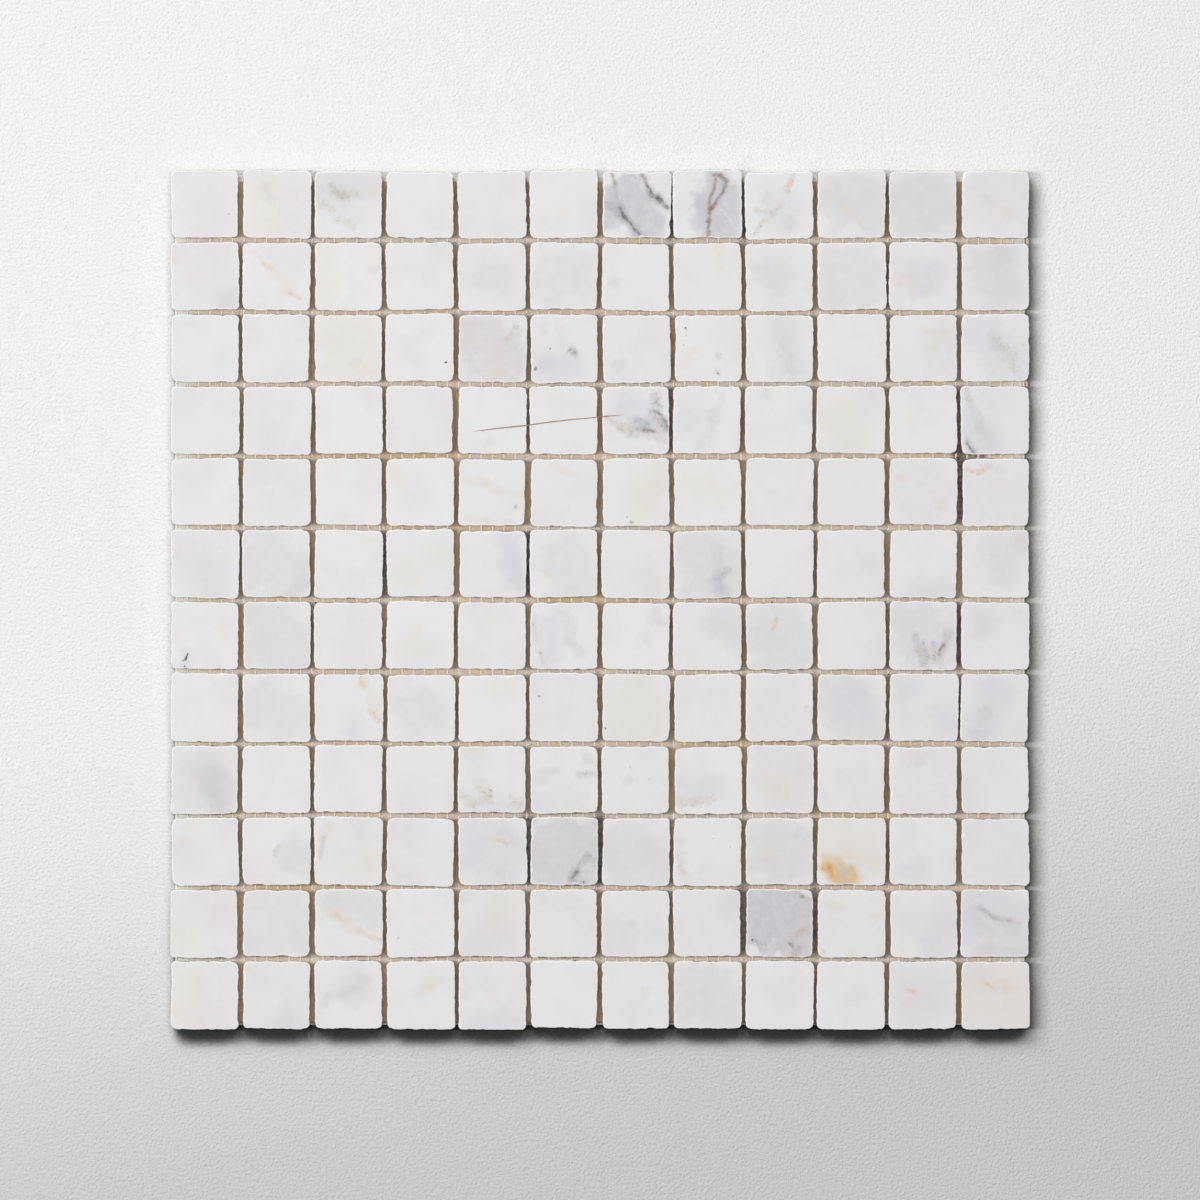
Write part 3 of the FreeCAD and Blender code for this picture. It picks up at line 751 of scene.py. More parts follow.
def buildMarkGroup():
    # lays one stretch of a mark over the stone, by the distance to a straight line
    tree, given = newTree("stoneMark", "ShaderNodeTree", {
        "Stone": "NodeSocketColor",
        "Place": "NodeSocketVector",
        "Swelling": "NodeSocketFloat",
        "Density": "NodeSocketFloat",
        "Start": "NodeSocketVector",
        "End": "NodeSocketVector",
        "Half Width": "NodeSocketFloat",
        "Fade": "NodeSocketFloat",
        "Halo": "NodeSocketFloat",
        "Colour": "NodeSocketColor",
        "Strength": "NodeSocketFloat",
    }, "Stone", "NodeSocketColor")
    fromStart = addNode(tree, "ShaderNodeVectorMath", given["Place"], given["Start"], operation="SUBTRACT")
    whole = addNode(tree, "ShaderNodeVectorMath", given["End"], given["Start"], operation="SUBTRACT")
    along = addNode(tree, "ShaderNodeVectorMath", fromStart, whole, operation="DOT_PRODUCT").outputs["Value"]
    squared = addNode(tree, "ShaderNodeVectorMath", whole, whole, operation="DOT_PRODUCT").outputs["Value"]
    share = addNode(tree, "ShaderNodeMath", along, squared, operation="DIVIDE", use_clamp=True)
    nearest = addNode(tree, "ShaderNodeVectorMath", whole, named={"Scale": share}, operation="SCALE")
    away = addNode(tree, "ShaderNodeVectorMath", fromStart, nearest, operation="DISTANCE").outputs["Value"]
    width = addNode(tree, "ShaderNodeMath", given["Half Width"], given["Swelling"], operation="MULTIPLY")
    outer = addNode(tree, "ShaderNodeMath", width, given["Fade"], operation="ADD")
    cover = addNode(tree, "ShaderNodeMapRange", away, width, outer, given["Strength"], 0.0,
                    interpolation_type="SMOOTHSTEP")
    haloShare = 0.4  # of the mark's own strength
    haloStrength = addNode(tree, "ShaderNodeMath", given["Strength"], haloShare, operation="MULTIPLY")
    haloEnd = addNode(tree, "ShaderNodeMath", width, given["Halo"], operation="ADD")
    halo = addNode(tree, "ShaderNodeMapRange", away, 0.0, haloEnd, haloStrength, 0.0,
                   interpolation_type="SMOOTHSTEP")
    cover = addNode(tree, "ShaderNodeMath", cover, given["Density"], operation="MULTIPLY", use_clamp=True)
    cover = addNode(tree, "ShaderNodeMath", cover, halo, operation="MAXIMUM")
    marked = addNode(tree, "ShaderNodeMix", cover, named={6: given["Stone"], 7: given["Colour"]}, data_type="RGBA")
    addNode(tree, "NodeGroupOutput", marked.outputs[2])
    return tree


def marbleOf(row, firstTile, markGroup):
    material, tree, shader, objectPlace = newMaterial(f"tumbledMarble{row + 1:02d}From{firstTile + 1:02d}")
    look = marbleLook
    pitchMm = tilePitch / mm
    sideMm = tileSide / mm
    inMm = addNode(tree, "ShaderNodeVectorMath", objectPlace, named={"Scale": 1 / mm}, operation="SCALE")
    part = addNode(tree, "ShaderNodeSeparateXYZ", inMm)

    # which tile, and where in it from its middle
    fromLeft = addNode(tree, "ShaderNodeMath", part.outputs[0], halfGrid / mm, operation="ADD")
    column = addNode(tree, "ShaderNodeMath", fromLeft, pitchMm, operation="DIVIDE")
    column = addNode(tree, "ShaderNodeMath", column, operation="FLOOR")
    across = addNode(tree, "ShaderNodeMath", fromLeft, pitchMm, operation="FLOORED_MODULO")
    across = addNode(tree, "ShaderNodeMath", across, pitchMm / 2, operation="SUBTRACT")
    rowMiddle = (firstTileY - row * tilePitch) / mm
    up = addNode(tree, "ShaderNodeMath", part.outputs[1], rowMiddle, operation="SUBTRACT")
    layer = addNode(tree, "ShaderNodeMath", column, tileApart, operation="MULTIPLY")
    ownPlace = addNode(tree, "ShaderNodeCombineXYZ", across, up, layer)

    # each tile is cut from another part of the block, so its pattern starts elsewhere
    tileNumber = addNode(tree, "ShaderNodeCombineXYZ", column, float(row), 0.0)
    chance = addNode(tree, "ShaderNodeTexWhiteNoise", tileNumber, noise_dimensions="3D")
    shift = addNode(tree, "ShaderNodeVectorMath", chance.outputs["Color"], named={"Scale": look["block"]},
                    operation="SCALE")
    inBlock = addNode(tree, "ShaderNodeVectorMath", inMm, shift, operation="ADD")
    noises = {}
    for name, settings in stoneNoise.items():
        noises[name] = addNode(tree, "ShaderNodeTexNoise", named={"Vector": inBlock, **settings},
                               noise_dimensions="4D" if "W" in settings else "3D")
    spans = {}
    for name, (source, *span) in stoneSpans.items():
        spans[name] = addNode(tree, "ShaderNodeMapRange", noises[source], *span)

    stone = addNode(tree, "ShaderNodeMix", spans["cloudy"], named={6: srgb(look["white"]), 7: srgb(look["cloud"])},
                    data_type="RGBA")
    stone = addNode(tree, "ShaderNodeMix", spans["warmth"], named={6: stone.outputs[2], 7: srgb(look["warm"])},
                    data_type="RGBA")
    # flushes bend over several millimetres and are mottled; veins and specks are ragged below one as well
    bend, ragged = [addNode(tree, "ShaderNodeVectorMath", noises[name].outputs["Color"], (0.5, 0.5, 0.5),
                            operation="SUBTRACT") for name in ("bend", "ragged")]
    moves = [addNode(tree, "ShaderNodeVectorMath", direction, (look[reach], look[reach], 0.0), operation="MULTIPLY")
             for direction, reach in ((bend, "flushBend"), (bend, "veinBend"), (ragged, "veinRagged"))]
    flushPlace = addNode(tree, "ShaderNodeVectorMath", ownPlace, moves[0], operation="ADD")
    veinPlace = addNode(tree, "ShaderNodeVectorMath", ownPlace, moves[1], operation="ADD")
    veinPlace = addNode(tree, "ShaderNodeVectorMath", veinPlace, moves[2], operation="ADD")
    natures = {
        "flush": (flushPlace, spans["flushSwelling"], spans["flushDensity"]),
        "vein": (veinPlace, spans["veinSwelling"], spans["veinDensity"]),
        "cluster": (veinPlace, spans["veinSwelling"], spans["clusterDensity"]),
    }
    colour = stone.outputs[2]
    for tileIndex, kind, halfWidth, *line in marks[row + 1]:
        if not firstTile <= tileIndex < firstTile + tilesEach:
            continue
        tone, fade, strength, halo, nature = markKinds[kind]
        place, swell, cover = natures[nature]
        spots = [((u / 100 - 0.5) * sideMm, (0.5 - v / 100) * sideMm, tileIndex * tileApart) for u, v in line]
        for start, end in zip(spots, spots[1:] or spots):
            mark = addNode(tree, "ShaderNodeGroup", node_tree=markGroup, named={
                "Stone": colour, "Place": place, "Swelling": swell, "Density": cover, "Start": start, "End": end,
                "Half Width": halfWidth, "Fade": fade, "Halo": halo, "Colour": srgb(tone), "Strength": strength})
            colour = mark.outputs[0]

    # crystals, and how pale each tile is
    pale = addNode(tree, "ShaderNodeMapRange", chance.outputs["Value"], 0.0, 1.0, look["darkest"], look["palest"])
    light = addNode(tree, "ShaderNodeMath", spans["shine"], pale, operation="MULTIPLY")
    lit = addNode(tree, "ShaderNodeVectorMath", colour, named={"Scale": light}, operation="SCALE")

    # bruised edges with a painted highlight along them, then adhesive and dust at the foot of the sides, paler on the
    # sides that face the joints across as painted light
    worn = addNode(tree, "ShaderNodeAttribute", attribute_name="worn").outputs["Fac"]
    chipped = addNode(tree, "ShaderNodeAttribute", attribute_name="chipped").outputs["Fac"]
    # painted highlight along the worn edge, on top of the stone's own bruising
    bruisedAndLit = addNode(tree, "ShaderNodeMath", worn, look["bruiseHighlightPower"], operation="POWER")
    chipBruise = addNode(tree, "ShaderNodeMath", chipped, worn, operation="MULTIPLY")
    bruisedAndLit = addNode(tree, "ShaderNodeMath", bruisedAndLit, chipBruise, operation="MAXIMUM")
    bruisedAndLit = addNode(tree, "ShaderNodeMath", bruisedAndLit, look["bruiseHighlightStrength"], operation="MULTIPLY")
    edged = addNode(tree, "ShaderNodeMix", bruisedAndLit, named={6: lit, 7: srgb(look["bruiseHighlight"])}, data_type="RGBA")
    foot = filmHigh.z / mm
    low = addNode(tree, "ShaderNodeMapRange", part.outputs[2], foot, foot + look["dustHeight"],
                  look["dustStrength"], 0.0, interpolation_type="SMOOTHSTEP")
    dusty = addNode(tree, "ShaderNodeMath", low, spans["veinDensity"], operation="MULTIPLY", use_clamp=True)
    # painted light: sides that face the joints across take a paler dust than those facing the joints up
    offSide = addNode(tree, "ShaderNodeMath", across, operation="ABSOLUTE")
    offEnd = addNode(tree, "ShaderNodeMath", up, operation="ABSOLUTE")
    facing = addNode(tree, "ShaderNodeMath", offEnd, offSide, operation="SUBTRACT")
    facing = addNode(tree, "ShaderNodeMapRange", facing, -1.0, 1.0, 0.0, 1.0)
    dust = addNode(tree, "ShaderNodeMix", facing, named={6: srgb(look["dust"]), 7: srgb(look["dustPaintedLight"])},
                   data_type="RGBA")
    final = addNode(tree, "ShaderNodeMix", dusty, named={6: edged.outputs[2], 7: dust.outputs[2]}, data_type="RGBA")
    bump = addNode(tree, "ShaderNodeBump", named={
        "Strength": 0.5, "Distance": look["gritDepth"], "Height": noises["crystal"]})
    fillInputs(tree, shader, {
        "Base Color": final.outputs[2], "Roughness": spans["roughness"], "Normal": bump,
        "Subsurface Weight": look["scatter"], "Subsurface Scale": look["scatterReach"],
        "Subsurface Radius": look["scatterColours"]})
    return material


tileTree = buildTileTree()
markGroup = buildMarkGroup()
tilesEach = tilesPerRow // 3  # a material carries the marks of so many tiles, to keep it small
middleZ = (filmHigh.z + cadHigh.z) / 2
for row, name in enumerate(rowNames):
    piece = growPiece(f"marbleTilesRow{row + 1:02d}", copyOfNode(name), tileTree, {
        **tileWear,
        "Tiles": tilesPerRow,
        "Tiles Each": tilesEach,
        "First Middle": (firstTileX, firstTileY - row * tilePitch, middleZ),
        "Step": (tilePitch, 0, 0),
        "Low Corner": cadLow,
        "High Corner": cadHigh,
        "Seed": tileWear["Seed"] + row,
        "Left Material": marbleOf(row, 0, markGroup),
        "Middle Material": marbleOf(row, tilesEach, markGroup),
        "Right Material": marbleOf(row, 2 * tilesEach, markGroup),
    })
    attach(piece, "root")
    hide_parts(name)
print("tiles made:", len(piece.data.polygons), "faces a row")

# Adhesive: white wood-type glue dried to a skin, stained tan by stone dust. The eye gets a satin, lumpy skin,
# granular where joints meet. Its colour carries painted light and shade: paler and cleaner in the joints across and
# where joints meet, browner in the joints up, and paler again towards the open ends of the joints.
glueLook = {
    # painted light and shade: one glue, paler in the joints across and where joints meet, browner in the joints up
    "acrossJointLit": "#E6D4C6",
    "acrossGold": "#E6D0AC",
    "upJointShaded": "#D4B289",
    "junctionLit": "#E2D2C4",
    # painted light: the pale tone towards the joints' open ends
    "open": "#F3ECE1",
    "dark": "#AC9069",
    "underTiles": "#DDD2C0",
    "bump": 0.15 * mm,
    "joint": (1.2, 1.9),  # mm from a joint's middle: its colour fades out between these
    "cleaner": 0.35,  # share of the dark spots that show in the joints across, fewer there as painted light
    "openEnd": (140.0, 149.0),  # mm from the sheet's middle to the left and right: paler between these, as painted light
    "openTop": (147.8, 148.4),  # the same towards the top
    "stainFade": 2.5,  # mm
    "stainStrength": 0.9,
    # dark and golden stains along joints: colour, half width in mm, and the line in mm from the sheet's middle
    "stains": [
        ("#5B5048", 1.6, [(25.4, 149), (25.4, 130)]), ("#6B5D50", 1.5, [(50.8, 148), (50.8, 130)]),
        ("#70624F", 1.4, [(25.4, 72), (25.4, 56)]), ("#4E443C", 1.5, [(-25.4, 22), (-25.4, 4)]),
        ("#6B5D50", 1.4, [(-25.4, -78), (-25.4, -98)]), ("#5B5048", 1.5, [(0, -78), (0, -98)]),
        ("#6B5D50", 1.3, [(76.2, -104), (76.2, -122)]), ("#6B5D50", 1.3, [(50.8, -104), (50.8, -122)]),
        ("#6B5D50", 1.3, [(127, 72), (127, 52), (134, 51)]), ("#4E443C", 1.2, [(127, 48), (127, 30)]),
        ("#5B5048", 1.3, [(127, -4), (127, -20)]), ("#70624F", 1.3, [(-76.2, 22), (-76.2, 4)]),
        ("#D6BC90", 1.2, [(-100, 51), (-50, 51)]), ("#D6BC90", 1.2, [(-74, 25.4), (-30, 25.4)]),
        ("#D6BC90", 1.2, [(30, -50.8), (70, -50.8)]), ("#D6BC90", 1.2, [(78, -76.2), (110, -76.2)]),
        ("#D6BC90", 1.2, [(-120, -101.6), (-84, -101.6)]), ("#D6BC90", 1.2, [(-20, 0), (16, 0)]),
    ],
}


# Noises in the adhesive. "Scale" is features a millimetre.
glueNoise = {
    "patchy": {"Scale": 0.11, "Detail": 3.0},
    "blotchy": {"Scale": 0.7, "Detail": 4.0, "Roughness": 0.65},
}
# What they are used for, as in the stone
glueSpans = {
    "golden": ("patchy", 0.36, 0.48, 1.0, 0.0),
    "darker": ("patchy", 0.45, 0.75, 0.0, 0.55),
    "spotted": ("blotchy", 0.5, 0.8, 0.0, 0.5),
    "stainDensity": ("blotchy", 0.3, 0.65, 0.5, 1.0),
    "roughness": ("blotchy", 0.3, 0.7, 0.42 - 0.1, 0.42 + 0.2),
}


def smoothRise(value, low, high):
    # from 0 at low to 1 at high
    share = min(max((value - low) / (high - low), 0), 1)
    return share * share * (3 - 2 * share)


filmShape = {
    "pointsAcross": 181,
    "underside": 0.29 * mm,
    "underTiles": 0.64 * mm,
    "inJointAcross": 0.35 * mm,
    "inJointUp": 0.52 * mm,
    "joint": (1.0 * mm, 1.6 * mm),  # from a joint's middle: it rises from the joint's level between these
    "meeting": (1.0 * mm, 1.8 * mm),  # the same for the place where joints meet
    "turn": (0.2 * mm, 1.0 * mm),  # how much nearer the joint up has to be than the one across
    "lump": 0.05 * mm,  # height, and then size
    "lumpSize": 1.4 * mm,
    "climb": 0.55 * mm,  # how far it rises against the tiles
    "climbAt": 1.15 * mm,  # from the joint's middle
    "climbWidth": 0.28 * mm,
    "climbSize": 5 * mm,  # how far apart its high places are
    "grain": 0.3 * mm,  # height and size of the grains where joints meet
    "grainSize": 0.8 * mm,
    "gather": 3.0 * mm,  # how far points are drawn to the joints
    "raggedEdge": 0.9 * mm,
    "raggedSize": 3 * mm,
}


def filmPlaces(halfSize, count):
    # evenly spaced places, drawn in towards the joints, with the last ones on the film's edge
    wave = 2 * math.pi / tilePitch
    span = halfSize - filmShape["gather"] * 0.93
    places = []
    for index in range(count):
        place = span * (2 * index / (count - 1) - 1)
        places.append(place - filmShape["gather"] * math.sin(wave * place))
    stretch = halfSize / places[-1]
    places[0], places[-1] = places[0] * stretch, places[-1] * stretch
    return places


def filmTop(x, y):
    offJoint = [abs(place - tilePitch * round(place / tilePitch)) for place in (x, y)]
    nearest = min(offJoint)
    shape = filmShape
    inJoint = 1 - smoothRise(nearest, *shape["joint"])
    meeting = 1 - smoothRise(max(offJoint), *shape["meeting"])
    # the third coordinate sets the noises apart
    lumps = max(noise.noise(Vector((x, y, 0.01)) / shape["lumpSize"]), 0)
    slow = noise.noise(Vector((x, y, 0.02)) / shape["climbSize"])
    grains = max(noise.noise(Vector((x, y, 0.03)) / shape["grainSize"]), 0)
    climb = math.exp(-((nearest - shape["climbAt"]) / shape["climbWidth"]) ** 2) * (0.55 + 0.45 * slow)
    isUp = smoothRise(offJoint[1] - offJoint[0], *shape["turn"])
    floorOfJoint = shape["inJointAcross"] * (1 - isUp) + shape["inJointUp"] * isUp
    floorOfJoint += shape["lump"] * lumps + shape["grain"] * grains * meeting
    level = shape["underTiles"] * (1 - inJoint) + floorOfJoint * inJoint
    return level + shape["climb"] * climb * (1 - meeting)


def buildFilm():
    count = filmShape["pointsAcross"]
    placesX = filmPlaces(filmHigh.x, count)
    placesY = filmPlaces(filmHigh.y, count)
    mesh = bmesh.new()
    top = []
    for j, y in enumerate(placesY):
        line = []
        for i, x in enumerate(placesX):
            swing = noise.noise(Vector((x, y, 0.05)) / filmShape["raggedSize"])
            ragged = filmShape["raggedEdge"] * (0.5 + 0.5 * swing)
            placeX = x - math.copysign(ragged, x) if i in (0, count - 1) else x
            placeY = y - math.copysign(ragged, y) if j in (0, count - 1) else y
            line.append(mesh.verts.new((placeX, placeY, filmTop(x, y))))
        top.append(line)
    for j in range(count - 1):
        for i in range(count - 1):
            mesh.faces.new((top[j][i], top[j][i + 1], top[j + 1][i + 1], top[j + 1][i]))
    border = top[0][:-1] + [line[-1] for line in top[:-1]] + top[-1][:0:-1] + [line[0] for line in top[:0:-1]]
    foot = [mesh.verts.new((corner.co.x, corner.co.y, filmShape["underside"])) for corner in border]
    for index, corner in enumerate(border):
        following = (index + 1) % len(border)
        mesh.faces.new((border[following], corner, foot[index], foot[following]))
    mesh.faces.new(reversed(foot))
    for face in mesh.faces:
        face.smooth = len(face.verts) == 4
    film = bpy.data.meshes.new("adhesiveFilm")
    mesh.to_mesh(film)
    mesh.free()
    return addObject("adhesiveFilm", film)


glue, tree, shader, objectPlace = newMaterial("driedAdhesive")
inMm = addNode(tree, "ShaderNodeVectorMath", objectPlace, named={"Scale": 1 / mm}, operation="SCALE")
part = addNode(tree, "ShaderNodeSeparateXYZ", inMm)
halfPitch = tilePitch / mm / 2
offUp = addNode(tree, "ShaderNodeMath", part.outputs[0], halfPitch, operation="PINGPONG")
offAcross = addNode(tree, "ShaderNodeMath", part.outputs[1], halfPitch, operation="PINGPONG")
inUp = addNode(tree, "ShaderNodeMapRange", offUp, *glueLook["joint"], 1.0, 0.0)
inAcross = addNode(tree, "ShaderNodeMapRange", offAcross, *glueLook["joint"], 1.0, 0.0)
meeting = addNode(tree, "ShaderNodeMath", inUp, inAcross, operation="MULTIPLY")
noises, spans = {}, {}
for name, settings in glueNoise.items():
    noises[name] = addNode(tree, "ShaderNodeTexNoise", named={"Vector": inMm, **settings})
for name, (source, *span) in glueSpans.items():
    spans[name] = addNode(tree, "ShaderNodeMapRange", noises[source], *span)
# painted light and shade: paler, cleaner glue in the joints across and where joints meet, browner in the joints up
across = addNode(tree, "ShaderNodeMix", spans["golden"], named={
    6: srgb(glueLook["acrossJointLit"]), 7: srgb(glueLook["acrossGold"])}, data_type="RGBA").outputs[2]
cleaner = addNode(tree, "ShaderNodeMapRange", inAcross, 0.0, 1.0, 1.0, glueLook["cleaner"])
darker = addNode(tree, "ShaderNodeMath", spans["darker"], cleaner, operation="MULTIPLY")
spotted = addNode(tree, "ShaderNodeMath", spans["spotted"], cleaner, operation="MULTIPLY")
glueColour = srgb(glueLook["underTiles"])
for share, tone in (
    (inUp, srgb(glueLook["upJointShaded"])),
    (inAcross, across),
    (meeting, srgb(glueLook["junctionLit"])),
    (darker, srgb(glueLook["dark"])),
    (spotted, srgb(glueLook["dark"])),
):
    glueColour = addNode(tree, "ShaderNodeMix", share, named={6: glueColour, 7: tone}, data_type="RGBA").outputs[2]
level = addNode(tree, "ShaderNodeVectorMath", inMm, (1.0, 1.0, 0.0), operation="MULTIPLY")
for tone, halfWidth, line in glueLook["stains"]:
    for start, end in zip(line, line[1:]):
        glueColour = addNode(tree, "ShaderNodeGroup", node_tree=markGroup, named={
            "Stone": glueColour, "Place": level, "Swelling": 1.0, "Density": spans["stainDensity"],
            "Start": (*start, 0), "End": (*end, 0), "Half Width": halfWidth, "Halo": 0.0,
            "Fade": glueLook["stainFade"], "Colour": srgb(tone), "Strength": glueLook["stainStrength"]})
# painted light: paler towards the joints' open ends at the left, right and top, where light reaches in along them
sideways = addNode(tree, "ShaderNodeMath", part.outputs[0], operation="ABSOLUTE")
openEnd = addNode(tree, "ShaderNodeMapRange", sideways, *glueLook["openEnd"], 0.0, 1.0)
openTop = addNode(tree, "ShaderNodeMapRange", part.outputs[1], *glueLook["openTop"], 0.0, 1.0)
opened = addNode(tree, "ShaderNodeMath", openEnd, openTop, operation="MAXIMUM")
glueColour = addNode(tree, "ShaderNodeMix", opened, named={
    6: glueColour, 7: srgb(glueLook["open"])}, data_type="RGBA").outputs[2]
bump = addNode(tree, "ShaderNodeBump", named={
    "Strength": 0.6, "Distance": glueLook["bump"], "Height": noises["blotchy"]})
fillInputs(tree, shader, {"Base Color": glueColour, "Roughness": spans["roughness"], "Normal": bump})
film = buildFilm()
film.data.materials.append(glue)
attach(film, "root")
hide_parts("adhesive_film")
print("adhesive made:", len(film.data.polygons), "faces")

# Mesh: yarns of glass fibre, woven open and dipped in a milky binder. The eye gets cream, slightly ribbed
# strands, each a little off its line.
yarnLook = {
    "spacing": 4.0 * mm,
    "width": 0.86 * mm,
    "thickness": 0.22 * mm,
    "pieces": 100,  # along each yarn
    "sides": 6,
    "stray": 0.16 * mm,  # how far a yarn leaves its line
    "strayNoise": {"Scale": 0.09, "Detail": 3.0},
    "lift": 0.014 * mm,
    "colour": "#FFF9EA",
    "groove": "#E0D0B0",
    "filament": 0.11,  # mm between the ribs; real filaments are a tenth of this
    "alongRibs": 0.12,  # how much the ribs change along the yarn, against across it
    "ribDepth": 0.05 * mm,
    "roughness": 0.4,
}


def buildYarnTree():
    tree, given = newTree("dippedYarns", "GeometryNodeTree", {
        "Geometry": "NodeSocketGeometry",
        "Yarns": "NodeSocketInt",
        "First Start": "NodeSocketVector",
        "Step": "NodeSocketVector",
        "Run": "NodeSocketVector",
        "Pieces": "NodeSocketInt",
        "Sides": "NodeSocketInt",
        "Width": "NodeSocketFloat",
        "Thickness": "NodeSocketFloat",
        "Stray": "NodeSocketVector",
        "Seed": "NodeSocketFloat",
        "Material": "NodeSocketMaterial",
    }, "Geometry", "NodeSocketGeometry")
    line = addNode(tree, "GeometryNodeMeshLine", named={
        "Count": given["Yarns"], "Start Location": given["First Start"], "Offset": given["Step"]})
    run = addNode(tree, "GeometryNodeCurvePrimitiveLine", (0, 0, 0), given["Run"])
    points = addNode(tree, "ShaderNodeMath", given["Pieces"], 1.0, operation="ADD")
    run = addNode(tree, "GeometryNodeResampleCurve", run, named={"Count": points})
    yarns = addNode(tree, "GeometryNodeInstanceOnPoints", line, named={"Instance": run})
    yarns = addNode(tree, "GeometryNodeRealizeInstances", yarns)
    place = addNode(tree, "GeometryNodeInputPosition")
    inMm = addNode(tree, "ShaderNodeVectorMath", place, named={"Scale": 1 / mm}, operation="SCALE")
    drift = addNode(tree, "ShaderNodeTexNoise", noise_dimensions="4D", named={
        "Vector": inMm, "W": given["Seed"], **yarnLook["strayNoise"]})
    drift = addNode(tree, "ShaderNodeVectorMath", drift.outputs["Color"], (0.5, 0.5, 0.5), operation="SUBTRACT")
    drift = addNode(tree, "ShaderNodeVectorMath", drift, given["Stray"], operation="MULTIPLY")
    yarns = addNode(tree, "GeometryNodeSetPosition", yarns, named={"Offset": drift})
    yarns = addNode(tree, "GeometryNodeSetCurveNormal", yarns, mode="Z_UP")
    ring = addNode(tree, "GeometryNodeCurvePrimitiveCircle", named={"Resolution": given["Sides"], "Radius": 0.5})
    size = addNode(tree, "ShaderNodeCombineXYZ", given["Width"], given["Thickness"], 1.0)
    ring = addNode(tree, "GeometryNodeTransform", ring, named={"Scale": size})
    bodies = addNode(tree, "GeometryNodeCurveToMesh", yarns, ring, named={"Fill Caps": True})
    bodies = addNode(tree, "GeometryNodeSetShadeSmooth", bodies, named={"Shade Smooth": True})
    bodies = addNode(tree, "GeometryNodeRealizeInstances", bodies)
    bodies = addNode(tree, "GeometryNodeSetMaterial", bodies, named={"Material": given["Material"]})
    addNode(tree, "NodeGroupOutput", bodies)
    return tree


def yarnMaterial(name, acrossAxis):
    # ribs run along the yarn, so they repeat along the other axis
    material, tree, shader, objectPlace = newMaterial(name)
    stretch = 3 * [yarnLook["alongRibs"]]
    stretch[acrossAxis] = 1.0
    ribPlace = addNode(tree, "ShaderNodeVectorMath", objectPlace, [s / mm for s in stretch], operation="MULTIPLY")
    rib = addNode(tree, "ShaderNodeTexNoise", named={
        "Vector": ribPlace, "Scale": 1 / (2 * yarnLook["filament"]), "Detail": 2.0})
    ribbed = addNode(tree, "ShaderNodeMapRange", rib, 0.4, 0.75, 0.0, 0.6)
    colour = addNode(tree, "ShaderNodeMix", ribbed, named={
        6: srgb(yarnLook["colour"]), 7: srgb(yarnLook["groove"])}, data_type="RGBA")
    bump = addNode(tree, "ShaderNodeBump", named={"Strength": 0.7, "Distance": yarnLook["ribDepth"], "Height": rib})
    fillInputs(tree, shader, {
        "Base Color": colour.outputs[2], "Roughness": yarnLook["roughness"], "Normal": bump})
    return material


yarnTree = buildYarnTree()
for name, nodeName, low, high, runAxis, seed in (
    ("weftYarns", "mesh_weft", weftLow, weftHigh, 0, 4.0),
    ("warpYarns", "mesh_warp", warpLow, warpHigh, 1, 8.0),
):
    stepAxis = 1 - runAxis
    yarnCount = int((high[stepAxis] - low[stepAxis]) / yarnLook["spacing"]) + 1
    start, step, run = Vector(), Vector(), Vector()
    start[runAxis] = low[runAxis]
    start[stepAxis] = -(yarnCount - 1) / 2 * yarnLook["spacing"]
    start.z = (low.z + high.z) / 2
    step[stepAxis] = yarnLook["spacing"]
    run[runAxis] = high[runAxis] - low[runAxis]
    stray = Vector((0, 0, 2 * yarnLook["lift"]))
    stray[stepAxis] = 2 * yarnLook["stray"]
    piece = growPiece(name, bpy.data.meshes.new(name + "Empty"), yarnTree, {
        "Yarns": yarnCount,
        "First Start": start,
        "Step": step,
        "Run": run,
        "Pieces": yarnLook["pieces"],
        "Sides": yarnLook["sides"],
        "Width": yarnLook["width"],
        "Thickness": yarnLook["thickness"],
        "Stray": stray,
        "Seed": seed,
        "Material": yarnMaterial("dippedGlassYarn" + name[:4].title(), stepAxis),
    })
    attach(piece, "root")
    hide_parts(nodeName)
    print(name, yarnCount, "yarns,", len(piece.data.polygons), "faces")

